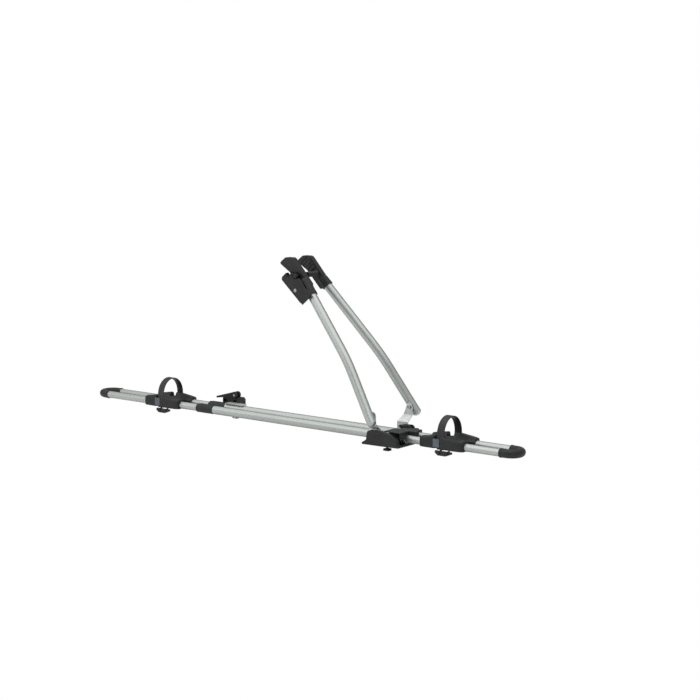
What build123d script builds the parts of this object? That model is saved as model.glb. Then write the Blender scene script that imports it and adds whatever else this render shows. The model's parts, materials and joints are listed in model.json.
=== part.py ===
from build123d import *
from math import atan2, cos, degrees, hypot, pi, radians, sin, sqrt
import os

os.makedirs("parts", exist_ok=True)

# Roof mounted bike carrier: two parallel rails on two roof bar feet, a pair of folding arms
# that hold the frame, and two wheel holders with straps that slide on the rails.
# Millimetres. X runs along the rails to the front, Y across to the far side, Z up.
# The origin is the middle of the front foot's rubber pad, on the roof bar.

NEAR, FAR = -1, 1
SIDES = (("near", NEAR), ("far", FAR))

# General fits
overrun = 5.0
running_fit = 0.05
slip_fit = 0.1
slide_gap = 0.3
screw_fit = 0.15

# Rails
rear_reach = 1087.5
front_reach = 377.0
rail_height = 24.0
rail_half_spacing = 25.0
thin_rail_radius = 10.0
rail_wall = 1.5
telescope_fit = 0.15
centre_rail_rear = -618.0
centre_rail_front = 44.0
rear_rail_overlap = 120.0
front_rail_overlap = 115.0
centre_rail_bore = thin_rail_radius + telescope_fit
centre_rail_radius = centre_rail_bore + rail_wall
rail_screw_radius = 2.0
rail_screw_head_radius = 3.6
rail_screw_head_height = 2.0
rail_screw_depth = 6.0
rear_rail_screw_setback = 75.0
front_rail_screw_setback = 9.5

# End bows
bow_radius = 12.0
bow_straight = 15.0
bow_socket_depth = 14.0
bow_rear_mouth = -rear_reach + bow_radius + rail_half_spacing + bow_straight
bow_front_mouth = front_reach - bow_radius - rail_half_spacing - bow_straight

# Rail sleeves
sleeve_length = 61.0
sleeve_wall = 2.4
sleeve_slot_width = 10.0
sleeve_rib_width = 5.0
sleeve_rib_height = 0.9
sleeve_rib_length = 46.0

# Feet, shared
pad_thickness = 3.0
parting_gap = 0.5
foot_half_width = 59.5
front_pad_half_width = 40.0
t_bolt_offset = 49.5
t_bolt_radius = 3.0
t_bolt_head_length = 18.0
t_bolt_head_width = 16.0
t_bolt_head_height = 5.0
slot_lip = 3.0
bolt_hole_radius = t_bolt_radius + slide_gap
groove_radius = centre_rail_radius + running_fit
base_top = rail_height - parting_gap

# Clamp levers on the feet
lever_radius = 9.7
lever_width = 19.0
lever_tip_radius = 2.6
lever_pin_radius = 3.0
lever_eye_radius = 6.0
lever_eye_width = 8.0
lever_web_start = 14.0
front_lever_reach = 27.0
front_lever_tip_drop = -5.5
front_lever_flat = 8.0
rear_lever_reach = 65.0
rear_lever_tip_drop = 11.0
rear_lever_flat = 41.0

# Front foot
front_base_rear = -52.5
toe_front = 41.0
toe_top = 9.5
front_base_front = 22.0
bracket_wall = 3.0
bracket_rear = -49.0
bracket_front = -14.0
saddle_rear = -4.0
saddle_front = 47.0
saddle_plate_top = 38.5
saddle_plate_far = 38.5
saddle_ridge_top = 44.0
saddle_ridge_inner = -10.0
saddle_wall = 2.5
saddle_rib_place = 28.0
tongue_front = 70.6
tongue_outer = -20.0
tongue_bottom = 34.5
saddle_screw_radius = 2.5
saddle_screw_head_radius = 4.5
saddle_screw_head_height = 3.0
saddle_screw_depth = 24.0
saddle_screw_rear = 3.0
saddle_screw_front = 17.0
upstand_rear = 10.6
upstand_top = 36.0
nut_radius = 5.6
nut_height = 5.0
washer_radius = 7.5
washer_height = 1.6

# Front foot cover
cover_length = 112.0
cover_face = 75.0
cover_back = 64.5
cover_wall = 2.2
cover_edge_radius = 2.4
cover_hinge_offset = 68.5
cover_hinge_height = 12.5
cover_pin_radius = 1.8
knuckle_radius = 3.8
knuckle_width = 4.5
cover_lock_place = -16.0
cover_lock_height = 30.0
cover_lock_radius = 5.0
keyway_length = 5.4
keyway_width = 1.1
keyway_depth = 2.5

# Arms
pivot_x = -24.1
pivot_z = 84.5
pivot_half_width = 96.6
head_half_width = 35.7
arm_radius = 12.25
arm_wall = 1.5
arm_lower_lean_share = 0.663
arm_upper_lean_share = 0.885
arm_bend_height = 215.0
arm_bend_radius = 600.0
spindle_height = 423.0
arm_end_below_spindle = 26.0
arm_tail = 21.0
plug_length = 36.0
plug_cap = 6.5
bush_radius = 6.0
bush_half_width = 4.0
pivot_bolt_radius = 3.0
pivot_head_radius = 5.6
pivot_head_height = 4.5
pivot_nut_radius = 5.0
pivot_nut_height = 3.6
spacer_radius = 5.5
arm_hole_radius = 7.6
ear_face = 82.0
ear_bend_low = 46.0
ear_bend_high = 62.0
ear_tip_radius = 9.5

# Frame holder
jaw_inner_face = 28.0
jaw_thickness = 18.0
jaw_edge_radius = 2.0
jaw_length = 109.0
socket_wall = 2.5
socket_top = 24.0
near_socket_length = 68.0
far_socket_length = 44.0
jaw_pad_thickness = 3.0
jaw_pad_inset = 2.5
jaw_pad_start = 15.5
pad_groove_count = 4
pad_groove_pitch = 9.0
pad_groove_width = 3.0
pad_groove_depth = 1.4
rivet_radius = 1.8
rivet_head_radius = 3.4
rivet_head_height = 1.8
rivet_seat = 13.9
rivet_reach = 8.0
rivet_count = 2
rivet_first = 31.0
rivet_pitch = 8.0
spindle_radius = 4.0
spindle_head_radius = 7.0
spindle_head_height = 5.0
spindle_end = 63.0
spindle_nut_radius = 6.5
spindle_nut_height = 7.0
sleeve_tube_radius = 7.5
sleeve_tube_end = 13.0
sleeve_flange_radius = 10.0
sleeve_flange_width = 2.0
slot_below = 2.5
slot_above = 6.0
slot_gap = 0.6
slot_shoulder = 14.0
clamp_lever_gap = 1.0
frame_lever_length = 98.5
clamp_lever_thickness = 13.0
clamp_lever_edge_radius = 3.0
clamp_block_end = -21.5
clamp_cheek_end = -7.5
clamp_pin_place = 12.0
clamp_pin_radius = 2.5
clamp_pin_from = -30.0
jaw_knuckle_from = -18.0
jaw_knuckle_to = -12.0
jaw_knuckle_radius = 5.0
knuckle_root = 2.0
head_round_radius = 6.2
clamp_lock_radius = 4.6
clamp_lock_boss = 6.4
clamp_lock_p = -30.0
clamp_lock_q = -22.8
clamp_lock_depth = 10.0
lock_proud = 0.6

# Rear foot
rear_bar_x = -603.0
rear_base_rear = -644.0
rear_base_front = -579.0
rear_tie_inner = -13.2
rear_tie_bottom = 10.0
rear_foot_inner = 24.0
rear_housing_face = 38.6
rear_housing_top = 48.5
rear_housing_outer = 63.0
rear_pad_outer = 40.5
rear_upstand_top = 53.0
rear_plate_thickness = 2.5
rear_plate_rear = -616.0
rear_plate_front = -549.0
rear_plate_inner = 16.0
rear_plate_tuck = 4.0
rear_plate_corner = 8.0
housing_recess_depth = 6.0
housing_recess_width = 11.0
housing_rear_wall = 3.5
housing_front_wall = 13.0
housing_top_wall = 2.5

# Wheel holders
rear_holder_place_share = 0.706
front_holder_place_share = 0.171
holder_half_length = 66.0
collar_end = -21.5
body_start = -1.5
sleeve_half_height = 13.5
sleeve_corner = 5.0
waist_half_height = 12.0
web_bottom = 10.5
web_top = 17.0
web_ramp_top = 27.0
web_ramp_start = 30.0
web_ramp_length = 14.0
trough_height = 54.0
trough_radius = 26.0
collar_rear_top = 40.0
collar_top = 46.5
body_outer = 44.0
body_top = 48.0
body_nose_top = 40.0
strap_width = 22.0
strap_thickness = 2.4
strap_line = 39.8
strap_foot = 12.0
strap_crown = 94.0
strap_shoulder = 48.0
strap_pocket_gap = 0.3
buckle_rear = -21.0
buckle_front = -2.0
buckle_low = 18.0
buckle_high = 39.0
buckle_thickness = 3.0
latch_pin_radius = 1.5
latch_axis_height = 6.2
latch_half_thickness = 4.0
latch_line = 41.0
latch_top = 10.0
latch_bottom = -2.0
latch_top_rear = -14.0
latch_top_front = 34.0
latch_bottom_rear = -5.0
latch_bottom_front = 18.0
latch_lug_rear = 0.0
latch_lug_front = 24.0
latch_lug_width = 3.6
latch_lug_radius = 3.0
latch_lug_gap = 0.3


def save(piece, name):
    """Label a finished piece and write its STEP file."""
    piece.part.label = name
    export_step(piece.part, f"parts/{name}.step")


def face_plane(y):
    """The XZ plane at world Y, drawn with X to the right; a positive extrusion goes to -Y."""
    return Plane.XZ.offset(-y)


def cross_plane(x):
    """The YZ plane at world X; a positive extrusion goes to +X."""
    return Plane.YZ.offset(x)


def level_plane(z):
    """The XY plane at world Z; a positive extrusion goes up."""
    return Plane.XY.offset(z)


# Arm and frame holder geometry, worked out from the pivots, the leans and the spindle's height
bend_x = pivot_x - arm_lower_lean_share * (arm_bend_height - pivot_z)
spindle_x = bend_x - arm_upper_lean_share * (spindle_height - arm_bend_height)
arm_inward_share = (pivot_half_width - head_half_width) / (spindle_height - pivot_z)
lean = hypot(arm_upper_lean_share, 1)
along_x, along_z = -arm_upper_lean_share / lean, 1 / lean


def arm_half_width(z):
    """Distance of an arm's centreline from the centre plane at height z."""
    return pivot_half_width - arm_inward_share * (z - pivot_z)


def head_point(p, q, y):
    """World point of the frame holder: p along the arms, q across them to the front."""
    return (spindle_x + along_x * p + along_z * q, y, spindle_height + along_z * p - along_x * q)


def head_plane(y):
    """Plane of the frame holder at world Y: local x is p, local y is q, extrusion to +Y."""
    return Plane(origin=head_point(0, 0, y), x_dir=(along_x, 0, along_z), z_dir=(0, 1, 0))


def arm_point(p, side):
    """Point on the upper run of an arm's centreline, p along it from the spindle."""
    z = spindle_height + along_z * p
    return (spindle_x + along_x * p, side * arm_half_width(z), z)


def along_arm(p_from, p_to):
    """Length along an arm's axis between two places on its upper run."""
    return (Vector(*arm_point(p_to, FAR)) - Vector(*arm_point(p_from, FAR))).length


def arm_direction(side):
    """Direction of the upper run of an arm, from the pivot to the frame holder."""
    return Vector(-arm_upper_lean_share, -side * arm_inward_share, 1).normalized()


# Centre rails, with a hole under each end for the screw that holds the inner rail
rear_screw_x = centre_rail_rear + rear_rail_screw_setback
front_screw_x = centre_rail_front - front_rail_overlap + front_rail_screw_setback
rail_bottom = rail_height - centre_rail_radius


def rail_drill(x, side):
    """The drill for a vertical screw hole through the underside of a rail at x."""
    with BuildPart() as drill:
        with BuildSketch(level_plane(rail_bottom - overrun)):
            with Locations((x, side * rail_half_spacing)):
                Circle(rail_screw_radius + screw_fit)
        extrude(amount=overrun + rail_screw_depth)
    return drill.part


for side_name, side in SIDES:
    with BuildPart() as centre_rail:
        with BuildSketch(cross_plane(centre_rail_rear)):
            with Locations((side * rail_half_spacing, rail_height)):
                Circle(centre_rail_radius)
                Circle(centre_rail_bore, mode=Mode.SUBTRACT)
        extrude(amount=centre_rail_front - centre_rail_rear)
        add(rail_drill(rear_screw_x, side), mode=Mode.SUBTRACT)
        add(rail_drill(front_screw_x, side), mode=Mode.SUBTRACT)
    save(centre_rail, f"{side_name}_centre_rail")

# Thin rails, telescoped into the centre rails and plugged into the end bows
rear_rail_start = bow_rear_mouth - bow_socket_depth
rear_rail_end = centre_rail_rear + rear_rail_overlap
front_rail_start = centre_rail_front - front_rail_overlap
front_rail_end = bow_front_mouth + bow_socket_depth
THIN_RAILS = (
    ("rear", rear_rail_start, rear_rail_end, rear_screw_x),
    ("front", front_rail_start, front_rail_end, front_screw_x),
)
for end_name, rail_start, rail_end, screw_x in THIN_RAILS:
    for side_name, side in SIDES:
        with BuildPart() as thin_rail:
            with BuildSketch(cross_plane(rail_start)):
                with Locations((side * rail_half_spacing, rail_height)):
                    Circle(thin_rail_radius)
                    Circle(thin_rail_radius - rail_wall, mode=Mode.SUBTRACT)
            extrude(amount=rail_end - rail_start)
            add(rail_drill(screw_x, side), mode=Mode.SUBTRACT)
        save(thin_rail, f"{side_name}_{end_name}_rail")

# End bows: a moulded half turn of plastic that joins the two rails at each end
for end_name, mouth, way in (("rear", bow_rear_mouth, -1), ("front", bow_front_mouth, 1)):
    bend_start = mouth + way * bow_straight
    with BuildPart() as end_bow:
        with BuildLine(level_plane(rail_height)) as bow_path:
            near_run = Line((mouth, -rail_half_spacing), (bend_start, -rail_half_spacing))
            ThreePointArc(
                (bend_start, -rail_half_spacing),
                (bend_start + way * rail_half_spacing, 0),
                (bend_start, rail_half_spacing),
            )
            Line((bend_start, rail_half_spacing), (mouth, rail_half_spacing))
        with BuildSketch(Plane(origin=near_run @ 0, z_dir=near_run % 0)):
            Circle(bow_radius)
        sweep()
        with BuildSketch(cross_plane(mouth)):
            with Locations((-rail_half_spacing, rail_height), (rail_half_spacing, rail_height)):
                Circle(thin_rail_radius + slip_fit)
        extrude(amount=way * bow_socket_depth, mode=Mode.SUBTRACT)
    save(end_bow, f"{end_name}_end_bow")

# Rail sleeves: clips that close the step from the thin rail to the centre rail
sleeve_radius = thin_rail_radius + slip_fit + sleeve_wall
for side_name, side in SIDES:
    with BuildPart() as rail_sleeve:
        with BuildSketch(cross_plane(centre_rail_rear - sleeve_length)):
            with Locations((side * rail_half_spacing, rail_height)):
                Circle(sleeve_radius)
            with Locations((side * rail_half_spacing, rail_height + sleeve_radius / 2)):
                Rectangle(sleeve_rib_width, sleeve_radius + 2 * sleeve_rib_height)
            with Locations((side * rail_half_spacing, rail_height)):
                Circle(thin_rail_radius + slip_fit, mode=Mode.SUBTRACT)
            with Locations((side * rail_half_spacing, rail_height - sleeve_radius)):
                Rectangle(sleeve_slot_width, sleeve_radius, mode=Mode.SUBTRACT)
        extrude(amount=sleeve_length)
        for step in (0, 1):
            rib_end = centre_rail_rear - step * (sleeve_length + sleeve_rib_length) / 2
            with BuildSketch(cross_plane(rib_end)):
                with Locations((side * rail_half_spacing, rail_height + sleeve_radius)):
                    Rectangle(2 * sleeve_rib_width, 2 * sleeve_rib_height)
                with Locations((side * rail_half_spacing, rail_height)):
                    Circle(sleeve_radius, mode=Mode.SUBTRACT)
            extrude(amount=-(sleeve_length - sleeve_rib_length) / 2, mode=Mode.SUBTRACT)
    save(rail_sleeve, f"{side_name}_rail_sleeve")

# Rail screws: pan heads under the centre rails
with BuildPart() as rail_screws:
    screw_places = [
        (x, side * rail_half_spacing) for x in (rear_screw_x, front_screw_x) for side in (NEAR, FAR)
    ]
    with BuildSketch(level_plane(rail_bottom - rail_screw_head_height)):
        with Locations(*screw_places):
            Circle(rail_screw_head_radius)
    extrude(amount=rail_screw_head_height)
    with BuildSketch(level_plane(rail_bottom)):
        with Locations(*screw_places):
            Circle(rail_screw_radius)
    extrude(amount=rail_screw_depth)
    fillet(rail_screws.faces().group_by(Axis.Z)[0].edges(), rail_screw_head_height / 3)
save(rail_screws, "rail_screws")


def rail_grooves(x_from, x_to, radius=groove_radius):
    """The two round bars whose removal leaves the rails' grooves between x_from and x_to."""
    with BuildPart() as bars:
        with BuildSketch(cross_plane(x_from)):
            with Locations((-rail_half_spacing, rail_height), (rail_half_spacing, rail_height)):
                Circle(radius)
        extrude(amount=x_to - x_from)
    return bars.part


def foot_lever(pin_x, pin_z, reach, tip_drop, flat):
    """A cam lever: a round cam on its pin, a fork round the bolt's eye and a wedge to the rear."""
    tip_x = pin_x - reach
    tip_z = pin_z - tip_drop
    with BuildPart() as lever:
        with BuildSketch(face_plane(t_bolt_offset + lever_width / 2)):
            with Locations((pin_x, pin_z)):
                Circle(lever_radius)
            with BuildLine():
                Polyline(
                    (pin_x, pin_z + lever_radius),
                    (tip_x, tip_z + lever_tip_radius),
                    (tip_x - lever_tip_radius, tip_z),
                    (tip_x, tip_z - lever_tip_radius),
                    (pin_x - flat, pin_z - lever_radius),
                    (pin_x, pin_z - lever_radius),
                    close=True,
                )
            make_face()
        extrude(amount=lever_width)
        fillet(lever.edges().filter_by(Axis.Y).sort_by(Axis.X)[0:3], lever_tip_radius / 2)
        with BuildSketch(face_plane(t_bolt_offset + lever_eye_width / 2 + slide_gap)):
            with Locations((pin_x + lever_radius / 2, pin_z)):
                Rectangle(lever_radius + 2 * lever_web_start, 3 * lever_radius)
        extrude(amount=lever_eye_width + 2 * slide_gap, mode=Mode.SUBTRACT)
        with BuildSketch(face_plane(t_bolt_offset + lever_width)):
            with Locations((pin_x, pin_z)):
                Circle(lever_pin_radius + running_fit)
        extrude(amount=2 * lever_width, mode=Mode.SUBTRACT)
    return lever


def t_bolt(x, y, top, eyed):
    """A bolt whose oblong head slides in the bar's slot; an eye on top takes the lever's pin."""
    with BuildPart() as bolt:
        with BuildSketch(level_plane(-slot_lip - t_bolt_head_height)):
            with Locations((x, y)):
                RectangleRounded(t_bolt_head_length, t_bolt_head_width, t_bolt_radius)
        extrude(amount=t_bolt_head_height)
        with BuildSketch(level_plane(-slot_lip)):
            with Locations((x, y)):
                Circle(t_bolt_radius)
        extrude(amount=top + slot_lip)
        if eyed:
            with BuildSketch(face_plane(y + lever_eye_width / 2)):
                with Locations((x, top)):
                    Circle(lever_eye_radius)
            extrude(amount=lever_eye_width)
            with BuildSketch(face_plane(y + lever_eye_width)):
                with Locations((x, top)):
                    Circle(lever_pin_radius)
            extrude(amount=2 * lever_eye_width, mode=Mode.SUBTRACT)
    return bolt


# Front foot base: grooved for the rails, with lugs for the cover's hinge and an upstand
# beside the far lever
front_lever_z = base_top + slide_gap + lever_radius
base_bottom = pad_thickness
lug_places = (bracket_front + knuckle_width, front_base_front - knuckle_width)
with BuildPart() as front_foot_base:
    with BuildSketch(level_plane(base_bottom)):
        with Locations(((front_base_rear + front_base_front) / 2, 0)):
            Rectangle(front_base_front - front_base_rear, 2 * foot_half_width)
    extrude(amount=base_top - base_bottom)
    with BuildSketch(level_plane(base_bottom)):
        with Locations(((front_base_front + toe_front) / 2, 0)):
            Rectangle(toe_front - front_base_front, 2 * foot_half_width)
    extrude(amount=toe_top - base_bottom)
    with BuildSketch(level_plane(base_top)):
        with Locations(((upstand_rear + front_base_front) / 2, t_bolt_offset)):
            Rectangle(front_base_front - upstand_rear, lever_width)
    extrude(amount=upstand_top - base_top)
    add(rail_grooves(front_base_rear - overrun, front_base_front + overrun), mode=Mode.SUBTRACT)
    with BuildSketch(level_plane(base_bottom - overrun)):
        with Locations(((bracket_rear + bracket_front) / 2, 0)):
            Rectangle(
                bracket_front - bracket_rear + 2 * slide_gap, 2 * foot_half_width + 2 * overrun
            )
    extrude(amount=overrun + bracket_wall + slip_fit, mode=Mode.SUBTRACT)
    with BuildSketch(level_plane(base_bottom - overrun)):
        with Locations((0, -t_bolt_offset), (0, t_bolt_offset)):
            Circle(bolt_hole_radius)
    extrude(amount=base_top + overrun, mode=Mode.SUBTRACT)
    with BuildSketch(level_plane(base_bottom)):
        with Locations((saddle_screw_rear, 0), (saddle_screw_front, 0)):
            Circle(saddle_screw_radius + screw_fit)
    extrude(amount=base_top, mode=Mode.SUBTRACT)
    for lug_x in lug_places:
        with BuildSketch(cross_plane(lug_x)):
            with Locations((-cover_hinge_offset, cover_hinge_height)):
                Circle(knuckle_radius)
            with Locations((-(foot_half_width + cover_hinge_offset) / 2, cover_hinge_height)):
                Rectangle(cover_hinge_offset - foot_half_width, 2 * knuckle_radius)
            with Locations((-cover_hinge_offset, cover_hinge_height)):
                Circle(cover_pin_radius, mode=Mode.SUBTRACT)
        extrude(amount=knuckle_width)
save(front_foot_base, "front_foot_base")

with BuildPart() as front_foot_pad:
    with BuildSketch(level_plane(0)):
        with Locations(((front_base_rear + front_base_front) / 2, 0)):
            RectangleRounded(
                front_base_front - front_base_rear, 2 * front_pad_half_width, pad_thickness
            )
    extrude(amount=pad_thickness)
save(front_foot_pad, "front_foot_pad")

# Arm bracket: one strip of sheet metal, under the base and up both sides to the arm pivots
bracket_side = foot_half_width + slip_fit
with BuildPart() as arm_bracket:
    for side_name, side in SIDES:
        with BuildSketch(cross_plane(front_base_rear - overrun)):
            with BuildLine():
                Polyline(
                    (0, base_bottom),
                    (side * (bracket_side + bracket_wall), base_bottom),
                    (side * (bracket_side + bracket_wall), ear_bend_low),
                    (side * ear_face, ear_bend_high),
                    (side * ear_face, pivot_z + ear_tip_radius + overrun),
                    (side * (ear_face - bracket_wall), pivot_z + ear_tip_radius + overrun),
                    (side * (ear_face - bracket_wall), ear_bend_high + bracket_wall / 2),
                    (side * bracket_side, ear_bend_low + bracket_wall / 2),
                    (side * bracket_side, base_bottom + bracket_wall),
                    (0, base_bottom + bracket_wall),
                    close=True,
                )
            make_face()
        extrude(amount=front_base_front - front_base_rear + 2 * overrun)
    with BuildSketch(face_plane(ear_face + overrun)):
        with BuildLine():
            Polyline(
                (bracket_rear, base_bottom - overrun),
                (bracket_front, base_bottom - overrun),
                (bracket_front, ear_bend_high),
                (pivot_x + ear_tip_radius, pivot_z),
                (pivot_x - ear_tip_radius, pivot_z),
                (bracket_rear, ear_bend_low),
                close=True,
            )
        make_face()
        with Locations((pivot_x, pivot_z)):
            Circle(ear_tip_radius)
    extrude(amount=2 * (ear_face + overrun), mode=Mode.INTERSECT)
    with BuildSketch(face_plane(ear_face + overrun)):
        with Locations((pivot_x, pivot_z)):
            Circle(pivot_bolt_radius + slip_fit)
    extrude(amount=2 * (ear_face + overrun), mode=Mode.SUBTRACT)
save(arm_bracket, "arm_bracket")

# Saddle: clamps the rails from above, with a hood over the near bolt and a forward tongue
saddle_bottom = rail_height + parting_gap
hood_inner = -(rail_half_spacing + centre_rail_radius + saddle_wall)
with BuildPart() as front_saddle:
    with BuildSketch(level_plane(saddle_bottom)):
        with Locations(((saddle_rear + saddle_front) / 2, (saddle_plate_far + saddle_ridge_inner) / 2)):
            Rectangle(saddle_front - saddle_rear, saddle_plate_far - saddle_ridge_inner)
    extrude(amount=saddle_plate_top - saddle_bottom)
    with BuildSketch(level_plane(saddle_bottom)):
        with Locations(((saddle_rear + saddle_front) / 2, (saddle_ridge_inner - foot_half_width) / 2)):
            Rectangle(saddle_front - saddle_rear, saddle_ridge_inner + foot_half_width)
    extrude(amount=saddle_ridge_top - saddle_bottom)
    with BuildSketch(level_plane(tongue_bottom)):
        with Locations(((saddle_front + tongue_front) / 2, (tongue_outer + saddle_ridge_inner) / 2)):
            Rectangle(tongue_front - saddle_front, saddle_ridge_inner - tongue_outer)
    extrude(amount=saddle_ridge_top - tongue_bottom)
    fillet(front_saddle.edges().group_by(Axis.Z)[-1], 2 * saddle_wall / 3)
    add(rail_grooves(saddle_rear - overrun, centre_rail_front + slide_gap), mode=Mode.SUBTRACT)
    thin_grooves = rail_grooves(saddle_rear, tongue_front + overrun, thin_rail_radius + slide_gap)
    add(thin_grooves, mode=Mode.SUBTRACT)
    hood_front = saddle_front - saddle_wall
    hood_top = saddle_ridge_top - saddle_wall
    for bay_rear, bay_front in (
        (saddle_rear - overrun, saddle_rib_place),
        (saddle_rib_place + saddle_wall, hood_front),
    ):
        with BuildSketch(level_plane(saddle_bottom - overrun)):
            with Locations(((bay_rear + bay_front) / 2, (hood_inner - foot_half_width - overrun) / 2)):
                Rectangle(bay_front - bay_rear, hood_inner + foot_half_width + overrun)
        extrude(amount=hood_top - saddle_bottom + overrun, mode=Mode.SUBTRACT)
    with BuildSketch(level_plane(saddle_bottom - overrun)):
        with Locations((saddle_screw_rear, 0), (saddle_screw_front, 0)):
            Circle(saddle_screw_radius + screw_fit)
    extrude(amount=saddle_plate_top, mode=Mode.SUBTRACT)
    with BuildSketch(level_plane(saddle_plate_top - saddle_screw_head_height)):
        with Locations((saddle_screw_rear, 0), (saddle_screw_front, 0)):
            Circle(saddle_screw_head_radius + screw_fit)
    extrude(amount=saddle_plate_top, mode=Mode.SUBTRACT)
save(front_saddle, "front_saddle")

with BuildPart() as saddle_screws:
    head_seat = saddle_plate_top - saddle_screw_head_height
    screw_places = [(saddle_screw_rear, 0), (saddle_screw_front, 0)]
    with BuildSketch(level_plane(head_seat)):
        with Locations(*screw_places):
            Circle(saddle_screw_head_radius)
            RegularPolygon(saddle_screw_radius, 6, mode=Mode.SUBTRACT)
    extrude(amount=saddle_screw_head_height)
    with BuildSketch(level_plane(head_seat - saddle_screw_depth)):
        with Locations(*screw_places):
            Circle(saddle_screw_radius)
    extrude(amount=saddle_screw_depth + saddle_screw_head_height / 2)
save(saddle_screws, "saddle_screws")

# Near bolt of the front foot, with its washer and nut under the hood
near_bolt_top = hood_top - 2 * slot_lip
front_near_bolt = t_bolt(0, -t_bolt_offset, near_bolt_top, eyed=False)
save(front_near_bolt, "front_near_bolt")

with BuildPart() as front_bolt_washer:
    with BuildSketch(level_plane(base_top)):
        with Locations((0, -t_bolt_offset)):
            Circle(washer_radius)
            Circle(t_bolt_radius + slip_fit, mode=Mode.SUBTRACT)
    extrude(amount=washer_height)
save(front_bolt_washer, "front_bolt_washer")

with BuildPart() as front_bolt_nut:
    with BuildSketch(level_plane(base_top + washer_height)):
        with Locations((0, -t_bolt_offset)):
            RegularPolygon(nut_radius, 6)
            Circle(t_bolt_radius + running_fit, mode=Mode.SUBTRACT)
    extrude(amount=nut_height)
save(front_bolt_nut, "front_bolt_nut")

# Far bolt of the front foot, with its lever
front_far_bolt = t_bolt(0, t_bolt_offset, front_lever_z, eyed=True)
save(front_far_bolt, "front_far_bolt")
front_lever = foot_lever(0, front_lever_z, front_lever_reach, front_lever_tip_drop, front_lever_flat)
save(front_lever, "front_clamp_lever")

# Front foot cover: a lockable shell over the near side, hinged along its lower edge
COVER_OUTLINE_SHARES = (
    (-0.5759, 0.0411), (-0.1964, 0.0464), (0.4107, 0.0554), (0.4429, 0.0848),
    (0.4152, 0.2411), (0.1964, 0.3571), (-0.0714, 0.4018), (-0.4241, 0.3839),
    (-0.4554, 0.1607), (-0.5759, 0.0848),
)
COVER_CORNER_SHARES = (0.0179, 0.0893, 0.0179, 0.0223, 0.1071, 0.2679, 0.3571, 0.0893, 0.0446, 0.0223)
cover_outline = [(x * cover_length, z * cover_length) for x, z in COVER_OUTLINE_SHARES]
cover_corners = [corner * cover_length for corner in COVER_CORNER_SHARES]
with BuildPart() as front_cover:
    with BuildSketch(face_plane(-cover_back)) as cover_sketch:
        with BuildLine():
            FilletPolyline(*cover_outline, radius=cover_corners, close=True)
        make_face()
    extrude(amount=cover_face - cover_back)
    fillet(front_cover.faces().sort_by(Axis.Y)[0].edges(), cover_edge_radius)
    with BuildSketch(face_plane(-cover_back + overrun)):
        add(offset(cover_sketch.sketch_local, -cover_wall, mode=Mode.PRIVATE))
    extrude(amount=cover_face - cover_back + overrun - cover_wall, mode=Mode.SUBTRACT)
    with BuildSketch(level_plane(0)):
        with Locations(((bracket_rear + lug_places[1] + knuckle_width) / 2, -cover_back)):
            Rectangle(
                lug_places[1] + knuckle_width - bracket_rear + 2 * slide_gap,
                2 * (cover_face - cover_wall - cover_back),
            )
        with Locations((0, -cover_back)):
            Rectangle(2 * cover_face, 2 * cover_wall)
    extrude(amount=cover_hinge_height - knuckle_radius, mode=Mode.SUBTRACT)
    with BuildSketch(face_plane(-cover_back)):
        with Locations((cover_lock_place, cover_lock_height)):
            Circle(cover_lock_radius + cover_wall)
    extrude(amount=cover_face - cover_back - cover_wall / 2)
    with BuildSketch(face_plane(0)):
        with Locations((cover_lock_place, cover_lock_height)):
            Circle(cover_lock_radius + running_fit)
    extrude(amount=cover_face + overrun, mode=Mode.SUBTRACT)
    for lug_x in (lug_places[0] + knuckle_width + slide_gap, lug_places[1] - knuckle_width - slide_gap):
        with BuildSketch(cross_plane(lug_x)):
            with Locations((-cover_hinge_offset, cover_hinge_height)):
                Circle(knuckle_radius)
            with Locations((-(cover_hinge_offset + cover_face) / 2, cover_hinge_height)):
                Rectangle(cover_face - cover_hinge_offset - cover_wall, 2 * knuckle_radius)
            with Locations((-cover_hinge_offset, cover_hinge_height)):
                Circle(cover_pin_radius + running_fit, mode=Mode.SUBTRACT)
        extrude(amount=knuckle_width)
save(front_cover, "front_cover")

with BuildPart() as cover_hinge_pin:
    with BuildSketch(cross_plane(lug_places[0])):
        with Locations((-cover_hinge_offset, cover_hinge_height)):
            Circle(cover_pin_radius)
    extrude(amount=lug_places[1] + knuckle_width - lug_places[0])
save(cover_hinge_pin, "cover_hinge_pin")

with BuildPart() as cover_lock_barrel:
    with BuildSketch(face_plane(-cover_back - slide_gap)):
        with Locations((cover_lock_place, cover_lock_height)):
            Circle(cover_lock_radius)
    extrude(amount=cover_face + lock_proud - cover_back - slide_gap)
    with BuildSketch(face_plane(-cover_face - lock_proud)):
        with Locations((cover_lock_place, cover_lock_height)):
            Rectangle(keyway_width, keyway_length)
    extrude(amount=-keyway_depth, mode=Mode.SUBTRACT)
save(cover_lock_barrel, "cover_lock_barrel")

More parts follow.
